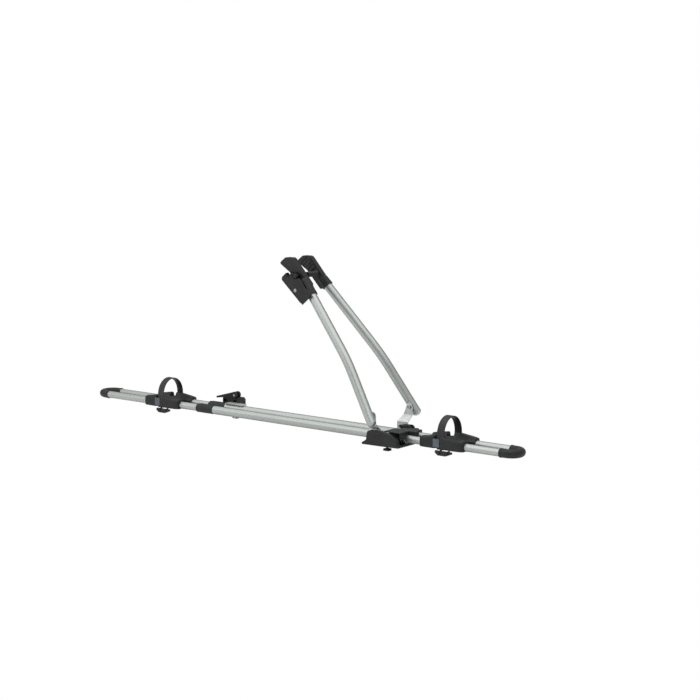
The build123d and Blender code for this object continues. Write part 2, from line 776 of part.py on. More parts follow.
# Rear foot: base and housing beside the far rail, with a tie block between the rails
rear_lever_z = rear_housing_top + slide_gap + lever_radius
rear_length = rear_base_front - rear_base_rear
rear_middle = (rear_base_front + rear_base_rear) / 2
plate_low = rail_height + centre_rail_radius + slip_fit
plate_high = plate_low + rear_plate_thickness
housing_recess_high = rear_housing_top - housing_top_wall
with BuildPart() as rear_foot_base:
    with BuildSketch(cross_plane(rear_base_rear)):
        with BuildLine():
            Polyline(
                (rear_foot_inner, base_bottom),
                (rear_housing_outer, base_bottom),
                (rear_housing_outer, rear_housing_top),
                (rear_housing_face, rear_housing_top),
                (rear_housing_face, base_top),
                (rear_tie_inner, base_top),
                (rear_tie_inner, rear_tie_bottom),
                (rear_foot_inner, rear_tie_bottom),
                close=True,
            )
        make_face()
    extrude(amount=rear_length)
    with BuildSketch(level_plane(rear_housing_top)):
        with Locations(((rear_bar_x + lever_radius + rear_base_front) / 2 + slip_fit * 5, t_bolt_offset)):
            Rectangle(rear_base_front - rear_bar_x - lever_radius - 10 * slip_fit, lever_width)
    extrude(amount=rear_upstand_top - rear_housing_top)
    add(rail_grooves(rear_base_rear - overrun, rear_base_front + overrun), mode=Mode.SUBTRACT)
    sleeve_grooves = rail_grooves(rear_base_rear - overrun, centre_rail_rear, sleeve_radius + slip_fit)
    add(sleeve_grooves, mode=Mode.SUBTRACT)
    with BuildSketch(level_plane(base_bottom - overrun)):
        with Locations((rear_bar_x, t_bolt_offset)):
            Circle(bolt_hole_radius)
    extrude(amount=rear_housing_top + overrun, mode=Mode.SUBTRACT)
    with BuildSketch(face_plane(rear_housing_face + housing_recess_depth)):
        for recess_x in (
            rear_base_rear + housing_rear_wall + housing_recess_width / 2,
            rear_base_front - housing_front_wall - housing_recess_width / 2,
        ):
            with Locations((recess_x, (plate_high + housing_recess_high) / 2)):
                Rectangle(housing_recess_width, housing_recess_high - plate_high)
    extrude(amount=housing_recess_depth + overrun, mode=Mode.SUBTRACT)
    with BuildSketch(level_plane(plate_low - slip_fit)):
        with Locations(((rear_plate_rear + rear_base_front) / 2, rear_housing_face)):
            Rectangle(
                rear_base_front - rear_plate_rear + 2 * slip_fit, 2 * (rear_plate_tuck + slip_fit)
            )
    extrude(amount=rear_plate_thickness + 2 * slip_fit, mode=Mode.SUBTRACT)
save(rear_foot_base, "rear_foot_base")

with BuildPart() as rear_foot_pad:
    with BuildSketch(level_plane(0)):
        with Locations((rear_middle, (rear_foot_inner + rear_pad_outer) / 2)):
            RectangleRounded(rear_length, rear_pad_outer - rear_foot_inner, pad_thickness)
    extrude(amount=pad_thickness)
save(rear_foot_pad, "rear_foot_pad")

rear_bolt = t_bolt(rear_bar_x, t_bolt_offset, rear_lever_z, eyed=True)
save(rear_bolt, "rear_bolt")
rear_lever = foot_lever(
    rear_bar_x, rear_lever_z, rear_lever_reach, rear_lever_tip_drop, rear_lever_flat
)
save(rear_lever, "rear_clamp_lever")

# Cross pins of the two clamp levers, flush with the levers' cheeks
with BuildPart() as lever_pins:
    with BuildSketch(face_plane(t_bolt_offset + lever_width / 2)):
        with Locations((0, front_lever_z), (rear_bar_x, rear_lever_z)):
            Circle(lever_pin_radius)
    extrude(amount=lever_width)
save(lever_pins, "lever_pins")

# Rear clamp plate: sheet metal over the far rail, tucked into a slot in the housing
with BuildPart() as rear_clamp_plate:
    with BuildSketch(level_plane(plate_low)):
        with Locations(((rear_plate_rear + rear_base_front) / 2, rear_housing_face)):
            Rectangle(rear_base_front - rear_plate_rear, 2 * rear_plate_tuck)
        with Locations((
            (rear_plate_rear + rear_plate_front) / 2, (rear_plate_inner + rear_housing_face - slip_fit) / 2
        )):
            Rectangle(rear_plate_front - rear_plate_rear, rear_housing_face - slip_fit - rear_plate_inner)
    extrude(amount=rear_plate_thickness)
    fillet(rear_clamp_plate.edges().filter_by(Axis.Z).group_by(Axis.X)[-1], rear_plate_corner)
save(rear_clamp_plate, "rear_clamp_plate")


def lower_direction(side):
    """Direction of the lower run of an arm, from the pivot to the bend."""
    return Vector(-arm_lower_lean_share, -side * arm_inward_share, 1).normalized()


def pivot_point(side, outward=0):
    """The arm's pivot, moved outward along its bolt."""
    return (pivot_x, side * (pivot_half_width + outward), pivot_z)


def tail_plane(side, below):
    """Plane across an arm's lower run, a distance below the pivot, facing up the arm."""
    rise = lower_direction(side)
    return Plane(origin=Vector(*pivot_point(side)) - rise * below, z_dir=rise)


def across_plane(p, side):
    """Plane across an arm's upper run at p, facing up the arm."""
    return Plane(origin=arm_point(p, side), z_dir=arm_direction(side))


def rivet_plane(p, side):
    """Plane through the arm's axis at p, facing outward, square to the arm."""
    climb = arm_direction(side)
    outward = Vector(0, side, 0) - climb * (climb.Y * side)
    return Plane(origin=arm_point(p, side), x_dir=climb, z_dir=outward.normalized())


# Arm tubes: a lower and an upper straight run with a wide bend between
arm_end = -arm_end_below_spindle
for side_name, side in SIDES:
    rise = lower_direction(side)
    climb = arm_direction(side)
    bend_point = Vector(bend_x, side * arm_half_width(arm_bend_height), arm_bend_height)
    tail_point = Vector(*pivot_point(side)) - rise * arm_tail
    upper_run = (Vector(*arm_point(arm_end, side)) - bend_point).length
    lower_run = (tail_point - bend_point).length
    bend_half_angle = rise.get_angle(climb) / 2
    setback = arm_bend_radius * sin(radians(bend_half_angle)) / cos(radians(bend_half_angle))
    arc_dip = arm_bend_radius * (1 / cos(radians(bend_half_angle)) - 1)
    lower_tangent = bend_point - rise * setback
    upper_tangent = bend_point + climb * setback
    arc_middle = bend_point + (climb - rise).normalized() * arc_dip
    with BuildPart() as arm_tube:
        with BuildLine() as arm_path:
            Line(tail_point, lower_tangent)
            ThreePointArc(lower_tangent, arc_middle, upper_tangent)
            Line(upper_tangent, Vector(*arm_point(arm_end, side)))
        with BuildSketch(tail_plane(side, arm_tail)):
            Circle(arm_radius)
            Circle(arm_radius - arm_wall, mode=Mode.SUBTRACT)
        sweep()
        with BuildSketch(face_plane(side * pivot_half_width)):
            with Locations((pivot_x, pivot_z)):
                Circle(arm_hole_radius)
        extrude(amount=side * (arm_radius + overrun), mode=Mode.SUBTRACT)
        for step in range(rivet_count):
            with BuildSketch(rivet_plane(-rivet_first - step * rivet_pitch, side)):
                Circle(rivet_radius + slip_fit)
            extrude(amount=arm_radius + overrun, mode=Mode.SUBTRACT)
    save(arm_tube, f"{side_name}_arm")

# Arm plugs: close the tubes' lower ends and carry the pivot bushes
for side_name, side in SIDES:
    tail = tail_plane(side, arm_tail)
    plug_radius = arm_radius - arm_wall - slip_fit / 2
    cap_round = (arm_radius**2 + plug_cap**2) / (2 * plug_cap)
    with BuildPart() as arm_plug:
        with BuildSketch(Plane(origin=tail.origin, x_dir=tail.x_dir, z_dir=tail.y_dir)):
            with BuildLine():
                RadiusArc((arm_radius, 0), (0, plug_cap), -cap_round)
                Polyline(
                    (0, plug_cap),
                    (0, -plug_length),
                    (plug_radius, -plug_length),
                    (plug_radius, 0),
                    (arm_radius, 0),
                )
            make_face()
        revolve(axis=Axis(tail.origin, tail.z_dir))
        with BuildSketch(face_plane(side * pivot_half_width)):
            with Locations((pivot_x, pivot_z)):
                Circle(bush_radius + running_fit)
        extrude(amount=arm_radius, both=True, mode=Mode.SUBTRACT)
        with BuildSketch(face_plane(side * (pivot_half_width - bush_half_width))):
            with Locations((pivot_x, pivot_z)):
                Circle(arm_hole_radius)
        extrude(amount=side * arm_radius, mode=Mode.SUBTRACT)
    save(arm_plug, f"{side_name}_arm_plug")

# Pivot hardware: a bolt through each ear, a spacer, a ball bush and a captive nut in the arm
bush_inner = pivot_half_width - bush_half_width
nut_inner = pivot_half_width + bush_half_width
ear_inner = ear_face - bracket_wall
bolt_end = nut_inner + pivot_nut_height
with BuildPart() as pivot_bolts:
    for side_name, side in SIDES:
        with BuildSketch(face_plane(side * ear_inner)):
            with Locations((pivot_x, pivot_z)):
                Circle(pivot_head_radius)
        extrude(amount=side * pivot_head_height)
        with BuildSketch(face_plane(side * ear_inner)):
            with Locations((pivot_x, pivot_z)):
                Circle(pivot_bolt_radius)
        extrude(amount=-side * (bolt_end - ear_inner))
        with BuildSketch(face_plane(side * (ear_inner - pivot_head_height))):
            with Locations((pivot_x, pivot_z)):
                RegularPolygon(pivot_bolt_radius, 6)
        extrude(amount=-side * pivot_head_height / 2, mode=Mode.SUBTRACT)
save(pivot_bolts, "pivot_bolts")

with BuildPart() as pivot_spacers:
    for side_name, side in SIDES:
        with BuildSketch(face_plane(side * ear_face)):
            with Locations((pivot_x, pivot_z)):
                Circle(spacer_radius)
                Circle(pivot_bolt_radius + slip_fit, mode=Mode.SUBTRACT)
        extrude(amount=-side * (bush_inner - ear_face))
save(pivot_spacers, "pivot_spacers")

with BuildPart() as pivot_bushes:
    for side_name, side in SIDES:
        with Locations(pivot_point(side)):
            Sphere(bush_radius)
        for outward in (-1, 1):
            with BuildSketch(face_plane(side * (pivot_half_width + outward * bush_half_width))):
                with Locations((pivot_x, pivot_z)):
                    Circle(bush_radius)
            extrude(amount=-side * outward * bush_radius, mode=Mode.SUBTRACT)
        with BuildSketch(face_plane(side * bush_inner)):
            with Locations((pivot_x, pivot_z)):
                Circle(pivot_bolt_radius + slip_fit)
        extrude(amount=-side * 2 * bush_half_width, mode=Mode.SUBTRACT)
save(pivot_bushes, "pivot_bushes")

with BuildPart() as pivot_nuts:
    for side_name, side in SIDES:
        with BuildSketch(face_plane(side * nut_inner)):
            with Locations((pivot_x, pivot_z)):
                RegularPolygon(pivot_nut_radius, 6)
                Circle(pivot_bolt_radius + running_fit, mode=Mode.SUBTRACT)
        extrude(amount=-side * pivot_nut_height)
save(pivot_nuts, "pivot_nuts")

# Jaws of the frame holder, with a socket for the arm's upper end
JAW_OUTLINE_SHARES = (
    (-0.3853, 0.1147), (0.4587, 0.1147), (0.6009, -0.0459), (0.6147, -0.2844),
    (0.2294, -0.1743), (-0.3853, -0.1560),
)
JAW_CORNER_SHARES = (0.0550, 0.1101, 0.0734, 0.0459, 0.2752, 0.0550)
jaw_outline = [(p * jaw_length, q * jaw_length) for p, q in JAW_OUTLINE_SHARES]
jaw_corners = [corner * jaw_length for corner in JAW_CORNER_SHARES]
socket_radius = arm_radius + slip_fit + socket_wall
jaw_outer_face = jaw_inner_face + jaw_thickness
clamp_pin_line = (jaw_outer_face + clamp_lever_gap) + clamp_lever_thickness / 2


def jaw_socket(length, side):
    """The round socket of a jaw, from its mouth up the arm's axis, closed by a half ball."""
    mouth = across_plane(-length, side)
    straight = along_arm(-length, -socket_top)
    with BuildPart() as socket:
        with BuildSketch(Plane(origin=mouth.origin, x_dir=mouth.x_dir, z_dir=-mouth.y_dir)):
            with BuildLine():
                Polyline((0, 0), (socket_radius, 0), (socket_radius, straight))
                CenterArc((0, straight), socket_radius, start_angle=0, arc_size=90)
                Line((0, straight + socket_radius), (0, 0))
            make_face()
        revolve(axis=Axis(mouth.origin, mouth.z_dir))
    return socket.part


JAWS = (("near", NEAR, near_socket_length), ("far", FAR, far_socket_length))
for side_name, side, socket_length in JAWS:
    with BuildPart() as jaw:
        with BuildSketch(head_plane(side * jaw_inner_face)) as jaw_sketch:
            with BuildLine():
                FilletPolyline(*jaw_outline, radius=jaw_corners, close=True)
            make_face()
        extrude(amount=side * jaw_thickness)
        fillet(jaw.faces().sort_by(Axis.Y)[0 if side == NEAR else -1].edges(), jaw_edge_radius)
        add(jaw_socket(socket_length, side))
        with BuildSketch(across_plane(-socket_length - overrun, side)):
            Circle(arm_radius + slip_fit)
        extrude(amount=along_arm(-socket_length - overrun, arm_end), mode=Mode.SUBTRACT)
        if side == NEAR:
            with BuildSketch(head_plane(-jaw_outer_face + knuckle_root)):
                with Locations((clamp_pin_place, (jaw_knuckle_from + jaw_knuckle_to) / 2)):
                    Rectangle(2 * jaw_knuckle_radius, jaw_knuckle_to - jaw_knuckle_from)
            extrude(amount=jaw_outer_face - knuckle_root - clamp_pin_line)
            knuckle_start = head_point(clamp_pin_place, jaw_knuckle_from, -clamp_pin_line)
            with BuildSketch(Plane(origin=knuckle_start, x_dir=(0, 1, 0), z_dir=(along_z, 0, -along_x))):
                Circle(jaw_knuckle_radius)
            extrude(amount=jaw_knuckle_to - jaw_knuckle_from)
            with BuildSketch(Plane(origin=knuckle_start, x_dir=(0, 1, 0), z_dir=(along_z, 0, -along_x))):
                Circle(clamp_pin_radius)
            extrude(amount=jaw_knuckle_to - jaw_knuckle_from, mode=Mode.SUBTRACT)
            with BuildSketch(head_plane(-jaw_inner_face + overrun)):
                with Locations(((slot_above - slot_below) / 2, 0)):
                    SlotCenterToCenter(slot_above + slot_below, 2 * (sleeve_tube_radius + slot_gap))
            extrude(amount=-overrun - slot_shoulder, mode=Mode.SUBTRACT)
            with BuildSketch(head_plane(-jaw_inner_face)):
                with Locations(((slot_above - slot_below) / 2, 0)):
                    SlotCenterToCenter(slot_above + slot_below, 2 * (spindle_radius + slot_gap))
            extrude(amount=-jaw_thickness - overrun, mode=Mode.SUBTRACT)
        else:
            with BuildSketch(head_plane(jaw_inner_face - overrun)):
                Circle(spindle_radius + slip_fit)
            extrude(amount=jaw_thickness + 2 * overrun, mode=Mode.SUBTRACT)
        for step in range(rivet_count):
            with BuildSketch(rivet_plane(-rivet_first - step * rivet_pitch, side)):
                Circle(rivet_radius + slip_fit)
            extrude(amount=socket_radius + overrun, mode=Mode.SUBTRACT)
            with BuildSketch(rivet_plane(-rivet_first - step * rivet_pitch, side).offset(rivet_seat)):
                Circle(rivet_head_radius + slip_fit)
            extrude(amount=overrun, mode=Mode.SUBTRACT)
    save(jaw, f"{side_name}_jaw")

    with BuildPart() as jaw_pad:
        with BuildSketch(head_plane(side * jaw_inner_face)):
            add(offset(jaw_sketch.sketch_local, -jaw_pad_inset, mode=Mode.PRIVATE))
            with Locations((jaw_pad_start - jaw_length, 0)):
                Rectangle(2 * jaw_length, 2 * jaw_length, mode=Mode.SUBTRACT)
        extrude(amount=-side * jaw_pad_thickness)
        with BuildSketch(head_plane(side * (jaw_inner_face - jaw_pad_thickness))):
            for step in range(pad_groove_count):
                with Locations((jaw_pad_start + (step + 1) * pad_groove_pitch, 0)):
                    Rectangle(pad_groove_width, jaw_length)
        extrude(amount=side * pad_groove_depth, mode=Mode.SUBTRACT)
    save(jaw_pad, f"{side_name}_jaw_pad")

    with BuildPart() as jaw_rivets:
        for step in range(rivet_count):
            with BuildSketch(rivet_plane(-rivet_first - step * rivet_pitch, side).offset(rivet_seat)):
                Circle(rivet_head_radius)
            extrude(amount=rivet_head_height, taper=20)
            with BuildSketch(rivet_plane(-rivet_first - step * rivet_pitch, side).offset(rivet_seat)):
                Circle(rivet_radius)
            extrude(amount=-rivet_reach)
    save(jaw_rivets, f"{side_name}_jaw_rivets")

# Spindle across the jaws: a threaded rod with its head on the far jaw, a sleeve and a nut
with BuildPart() as spindle:
    with BuildSketch(head_plane(-spindle_end)):
        Circle(spindle_radius)
    extrude(amount=spindle_end + jaw_outer_face)
    with BuildSketch(head_plane(jaw_outer_face)):
        Circle(spindle_head_radius)
        RegularPolygon(spindle_radius, 6, mode=Mode.SUBTRACT)
    extrude(amount=spindle_head_height)
    with BuildSketch(head_plane(jaw_outer_face)):
        Circle(spindle_radius)
    extrude(amount=spindle_head_height / 2)
save(spindle, "spindle")

with BuildPart() as spindle_sleeve:
    with BuildSketch(head_plane(-sleeve_tube_end)):
        Circle(sleeve_tube_radius)
        Circle(spindle_radius + slip_fit, mode=Mode.SUBTRACT)
    extrude(amount=sleeve_tube_end + jaw_inner_face)
    with BuildSketch(head_plane(jaw_inner_face - sleeve_flange_width)):
        Circle(sleeve_flange_radius)
        Circle(spindle_radius + slip_fit, mode=Mode.SUBTRACT)
    extrude(amount=sleeve_flange_width)
save(spindle_sleeve, "spindle_sleeve")

with BuildPart() as spindle_nut:
    with BuildSketch(head_plane(-spindle_end)):
        Circle(spindle_nut_radius)
        Circle(spindle_radius + running_fit, mode=Mode.SUBTRACT)
    extrude(amount=spindle_nut_height)
    fillet(spindle_nut.faces().sort_by(Axis.Y)[0].edges().sort_by(SortBy.RADIUS)[-1], spindle_radius / 4)
save(spindle_nut, "spindle_nut")

# Frame lever: pulls the jaws together, with a lock in its blade
LEVER_OUTLINE_SHARES = (
    (0.2792, -0.4670), (0.2792, -0.2183), (0.1421, -0.0761), (-0.4924, -0.2487),
    (-0.5888, -0.1827), (-0.7208, -0.3553),
)
LEVER_CORNER_SHARES = (0.0812, 0.0305, 0.0305, 0.0812, 0.0406, 0.0508)
lever_outline = [(p * frame_lever_length, q * frame_lever_length) for p, q in LEVER_OUTLINE_SHARES]
lever_corners = [corner * frame_lever_length for corner in LEVER_CORNER_SHARES]
lever_inner_y = -(jaw_outer_face + clamp_lever_gap)
lever_outer_y = lever_inner_y - clamp_lever_thickness
q_axis = (along_z, 0, -along_x)


def pin_plane(q):
    """Plane across the frame lever's pin at q, facing the front."""
    return Plane(origin=head_point(clamp_pin_place, q, -clamp_pin_line), x_dir=(0, 1, 0), z_dir=q_axis)


with BuildPart() as frame_lever:
    with BuildSketch(head_plane(lever_outer_y)):
        with BuildLine():
            FilletPolyline(*lever_outline, radius=lever_corners, close=True)
        make_face()
        with Locations((clamp_lock_p, clamp_lock_q)):
            Circle(clamp_lock_boss)
    extrude(amount=clamp_lever_thickness)
    fillet(frame_lever.faces().sort_by(Axis.Y)[0].edges(), clamp_lever_edge_radius)
    with BuildSketch(head_plane(lever_outer_y - overrun)):
        with Locations((clamp_pin_place + jaw_length / 2, clamp_block_end + jaw_length / 2)):
            Rectangle(jaw_length, jaw_length)
    extrude(amount=clamp_lever_thickness + 2 * overrun, mode=Mode.SUBTRACT)
    with BuildSketch(pin_plane(clamp_block_end)):
        Circle(head_round_radius)
    extrude(amount=clamp_cheek_end - clamp_block_end)
    with BuildSketch(pin_plane(jaw_knuckle_from - slide_gap)):
        with Locations((0, 0)):
            Circle(jaw_knuckle_radius + slide_gap)
    extrude(amount=jaw_knuckle_to - jaw_knuckle_from + 2 * slide_gap, mode=Mode.SUBTRACT)
    with BuildSketch(head_plane(lever_outer_y - overrun)):
        with Locations((clamp_pin_place + jaw_length / 2, (jaw_knuckle_from + jaw_knuckle_to) / 2)):
            Rectangle(jaw_length, jaw_knuckle_to - jaw_knuckle_from + 2 * slide_gap)
    extrude(amount=clamp_lever_thickness + 2 * overrun, mode=Mode.SUBTRACT)
    with BuildSketch(head_plane(-clamp_pin_line)):
        with Locations((clamp_pin_place, (jaw_knuckle_from + jaw_knuckle_to) / 2)):
            Rectangle(
                2 * (jaw_knuckle_radius + slide_gap), jaw_knuckle_to - jaw_knuckle_from + 2 * slide_gap
            )
    extrude(amount=clamp_lever_thickness, mode=Mode.SUBTRACT)
    with BuildSketch(pin_plane(clamp_pin_from - slip_fit)):
        Circle(clamp_pin_radius + running_fit)
    extrude(amount=clamp_cheek_end + overrun - clamp_pin_from, mode=Mode.SUBTRACT)
    with BuildSketch(head_plane(lever_outer_y - overrun)):
        with Locations((clamp_lock_p, clamp_lock_q)):
            Circle(clamp_lock_radius + running_fit)
    extrude(amount=clamp_lock_depth + overrun + slip_fit, mode=Mode.SUBTRACT)
save(frame_lever, "frame_lever")

with BuildPart() as frame_lever_pin:
    with BuildSketch(pin_plane(clamp_pin_from)):
        Circle(clamp_pin_radius)
    extrude(amount=clamp_cheek_end - clamp_pin_from)
save(frame_lever_pin, "frame_lever_pin")

with BuildPart() as frame_lock_barrel:
    with BuildSketch(head_plane(lever_outer_y - lock_proud)):
        with Locations((clamp_lock_p, clamp_lock_q)):
            Circle(clamp_lock_radius)
    extrude(amount=clamp_lock_depth + lock_proud)
    with BuildSketch(head_plane(lever_outer_y - lock_proud)):
        with Locations((clamp_lock_p, clamp_lock_q)):
            Rectangle(keyway_length, keyway_width)
    extrude(amount=keyway_depth, mode=Mode.SUBTRACT)
save(frame_lock_barrel, "frame_lock_barrel")

# Wheel holders: one moulding round both rails, a strap over the tyre, its plate and its latch.
# Each stands at its share of the free run between the end bow and the next piece on the rails.
sleeve_low = rail_height - sleeve_half_height
sleeve_width = 2 * sleeve_half_height
body_width = body_outer - rail_half_spacing + sleeve_half_height
rear_run = centre_rail_rear - sleeve_length - bow_rear_mouth - 2 * holder_half_length
front_run = bow_front_mouth - tongue_front - 2 * holder_half_length
rear_holder_x = bow_rear_mouth + holder_half_length + rear_holder_place_share * rear_run
front_holder_x = tongue_front + holder_half_length + front_holder_place_share * front_run
for end_name, centre_x in (("rear", rear_holder_x), ("front", front_holder_x)):
    with BuildPart() as wheel_holder:
        for side_name, side in SIDES:
            with BuildSketch(cross_plane(centre_x - holder_half_length)):
                with Locations((side * rail_half_spacing, (sleeve_low + collar_top) / 2)):
                    RectangleRounded(sleeve_width, collar_top - sleeve_low, sleeve_corner)
            extrude(amount=collar_end + holder_half_length)
            with BuildSketch(cross_plane(centre_x + collar_end)):
                with Locations((side * rail_half_spacing, rail_height)):
                    RectangleRounded(sleeve_width, 2 * waist_half_height, sleeve_corner)
            extrude(amount=body_start - collar_end)
            with BuildSketch(cross_plane(centre_x + body_start)):
                with Locations((side * (body_outer - body_width / 2), (sleeve_low + body_top) / 2)):
                    RectangleRounded(body_width, body_top - sleeve_low, sleeve_corner)
            extrude(amount=holder_half_length - body_start)
        with BuildSketch(face_plane(rail_half_spacing)):
            with BuildLine():
                Polyline(
                    (centre_x + collar_end, web_bottom),
                    (centre_x + holder_half_length, web_bottom),
                    (centre_x + holder_half_length, web_ramp_top),
                    (centre_x + web_ramp_start, web_top),
                    (centre_x + collar_end + web_ramp_length, web_top),
                    (centre_x + collar_end, web_ramp_top),
                    close=True,
                )
            make_face()
        extrude(amount=2 * rail_half_spacing)
        add(
            rail_grooves(
                centre_x - holder_half_length - overrun,
                centre_x + holder_half_length + overrun,
                thin_rail_radius + slide_gap,
            ),
            mode=Mode.SUBTRACT,
        )
        with BuildSketch(cross_plane(centre_x - holder_half_length - overrun)):
            with Locations((0, trough_height)):
                Circle(trough_radius)
        extrude(amount=2 * (holder_half_length + overrun), mode=Mode.SUBTRACT)
        with BuildSketch(face_plane(body_outer + overrun)):
            with BuildLine():
                Polyline(
                    (centre_x - holder_half_length - overrun, collar_rear_top),
                    (centre_x - holder_half_length, collar_rear_top),
                    (centre_x + collar_end, collar_top),
                    (centre_x + collar_end, collar_top + overrun),
                    (centre_x - holder_half_length - overrun, collar_top + overrun),
                    close=True,
                )
            make_face()
            with BuildLine():
                Polyline(
                    (centre_x + body_start, body_top),
                    (centre_x + holder_half_length, body_nose_top),
                    (centre_x + holder_half_length + overrun, body_nose_top),
                    (centre_x + holder_half_length + overrun, body_top + overrun),
                    (centre_x + body_start, body_top + overrun),
                    close=True,
                )
            make_face()
        extrude(amount=2 * (body_outer + overrun), mode=Mode.SUBTRACT)
        for side_name, side in SIDES:
            with BuildSketch(level_plane(strap_foot - slide_gap)):
                with Locations((centre_x, side * strap_line)):
                    Rectangle(strap_width + 2 * strap_pocket_gap, strap_thickness + 2 * slip_fit)
            extrude(amount=body_top, mode=Mode.SUBTRACT)
        for lug_x in (latch_lug_rear, latch_lug_front):
            with BuildSketch(cross_plane(centre_x + lug_x)):
                with Locations((-latch_line, latch_axis_height)):
                    Circle(latch_lug_radius)
                with Locations((-latch_line, (latch_axis_height + sleeve_low) / 2)):
                    Rectangle(2 * latch_lug_radius, sleeve_low - latch_axis_height)
                with Locations((-latch_line, latch_axis_height)):
                    Circle(latch_pin_radius, mode=Mode.SUBTRACT)
            extrude(amount=latch_lug_width)
    save(wheel_holder, f"{end_name}_wheel_holder")

    with BuildPart() as wheel_strap:
        with BuildSketch(cross_plane(centre_x - strap_width / 2)):
            with Locations((0, strap_shoulder)):
                Ellipse(strap_line + strap_thickness / 2, strap_crown - strap_shoulder)
                Ellipse(
                    strap_line - strap_thickness / 2,
                    strap_crown - strap_shoulder - strap_thickness,
                    mode=Mode.SUBTRACT,
                )
            with Locations((0, 0)):
                Rectangle(4 * strap_line, 2 * strap_shoulder, mode=Mode.SUBTRACT)
            strap_middle = (strap_foot + strap_shoulder) / 2
            with Locations((-strap_line, strap_middle), (strap_line, strap_middle)):
                Rectangle(strap_thickness, strap_shoulder - strap_foot)
        extrude(amount=strap_width)
    save(wheel_strap, f"{end_name}_strap")

    with BuildPart() as strap_plate:
        with BuildSketch(level_plane(buckle_low)):
            with Locations((
                centre_x + (buckle_rear + buckle_front) / 2,
                -strap_line - strap_thickness / 2 - slip_fit - buckle_thickness / 2,
            )):
                Rectangle(buckle_front - buckle_rear, buckle_thickness)
        extrude(amount=buckle_high - buckle_low)
        fillet(strap_plate.faces().sort_by(Axis.Y)[0].edges().filter_by(Axis.Z), buckle_thickness / 3)
    save(strap_plate, f"{end_name}_strap_plate")

    with BuildPart() as strap_latch:
        with BuildSketch(cross_plane(centre_x + latch_top_rear)):
            with Locations((-latch_line, latch_axis_height)):
                Circle(latch_half_thickness)
            with Locations((-latch_line, (latch_axis_height + latch_bottom) / 2)):
                Rectangle(2 * latch_half_thickness, latch_axis_height - latch_bottom)
        extrude(amount=latch_top_front - latch_top_rear)
        with BuildSketch(face_plane(-latch_line + 2 * latch_half_thickness)):
            with BuildLine():
                FilletPolyline(
                    (centre_x + latch_top_rear, latch_top + overrun),
                    (centre_x + latch_top_rear, latch_axis_height - latch_half_thickness / 2),
                    (centre_x + latch_bottom_rear, latch_bottom),
                    (centre_x + latch_bottom_front, latch_bottom),
                    (centre_x + latch_top_front, latch_axis_height - latch_half_thickness / 2),
                    (centre_x + latch_top_front, latch_top + overrun),
                    radius=latch_half_thickness / 2,
                    close=True,
                )
            make_face()
        extrude(amount=4 * latch_half_thickness, mode=Mode.INTERSECT)
        notch_height = 2 * (latch_top - latch_axis_height + latch_lug_radius)
        for lug_x in (latch_lug_rear, latch_lug_front):
            with BuildSketch(cross_plane(centre_x + lug_x - latch_lug_gap)):
                with Locations((-latch_line, latch_top - latch_lug_gap)):
                    Rectangle(4 * latch_half_thickness, notch_height)
            extrude(amount=latch_lug_width + 2 * latch_lug_gap, mode=Mode.SUBTRACT)
        with BuildSketch(cross_plane(centre_x + latch_top_rear - overrun)):
            with Locations((-latch_line, latch_axis_height)):
                Circle(latch_pin_radius + running_fit)
        extrude(amount=latch_top_front - latch_top_rear + 2 * overrun, mode=Mode.SUBTRACT)
    save(strap_latch, f"{end_name}_strap_latch")

    with BuildPart() as latch_pin:
        with BuildSketch(cross_plane(centre_x + latch_lug_rear - overrun)):
            with Locations((-latch_line, latch_axis_height)):
                Circle(latch_pin_radius)
        extrude(amount=latch_lug_front - latch_lug_rear + latch_lug_width + 2 * overrun)
    save(latch_pin, f"{end_name}_latch_pin")
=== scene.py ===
import json
from math import cos, hypot, pi, radians, sin

import bpy
import numpy as np
from mathutils import Matrix, Vector


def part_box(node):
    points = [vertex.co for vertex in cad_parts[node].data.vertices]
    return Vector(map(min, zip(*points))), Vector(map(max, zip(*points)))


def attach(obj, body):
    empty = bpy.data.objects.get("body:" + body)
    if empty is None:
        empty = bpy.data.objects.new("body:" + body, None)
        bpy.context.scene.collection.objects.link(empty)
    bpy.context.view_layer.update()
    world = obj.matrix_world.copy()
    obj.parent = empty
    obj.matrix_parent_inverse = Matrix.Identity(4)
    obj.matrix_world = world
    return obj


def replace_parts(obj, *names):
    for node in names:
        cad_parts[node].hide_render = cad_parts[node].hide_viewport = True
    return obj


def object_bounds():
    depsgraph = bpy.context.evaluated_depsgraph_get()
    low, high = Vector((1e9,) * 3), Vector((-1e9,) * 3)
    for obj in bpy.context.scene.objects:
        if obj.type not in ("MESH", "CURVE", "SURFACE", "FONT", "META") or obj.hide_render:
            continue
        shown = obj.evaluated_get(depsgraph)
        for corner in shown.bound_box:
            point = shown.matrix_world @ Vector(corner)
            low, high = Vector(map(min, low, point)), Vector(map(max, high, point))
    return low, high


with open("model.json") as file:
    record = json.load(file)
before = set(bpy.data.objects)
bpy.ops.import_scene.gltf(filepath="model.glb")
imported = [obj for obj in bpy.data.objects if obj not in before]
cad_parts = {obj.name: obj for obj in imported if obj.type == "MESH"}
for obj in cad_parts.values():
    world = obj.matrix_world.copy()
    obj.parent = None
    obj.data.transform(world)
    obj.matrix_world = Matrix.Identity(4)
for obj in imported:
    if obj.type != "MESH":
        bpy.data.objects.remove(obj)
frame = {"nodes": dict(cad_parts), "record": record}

# Roof mounted bike carrier. Metres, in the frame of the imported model: X along the rails to the
# front, Y across to the far side, Z up. The CAD nodes keep their places; this script gives them
# materials and rounded edges, and redoes the mouldings that the photograph shows best.

MM = 0.001
NEAR, FAR = -1, 1
nodes = frame["nodes"]
low_before, high_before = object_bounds()


# Surfaces

def millimetres(*rows):
    """Rows of millimetres as rows of metres."""
    return tuple(tuple(value * MM for value in row) for row in rows)


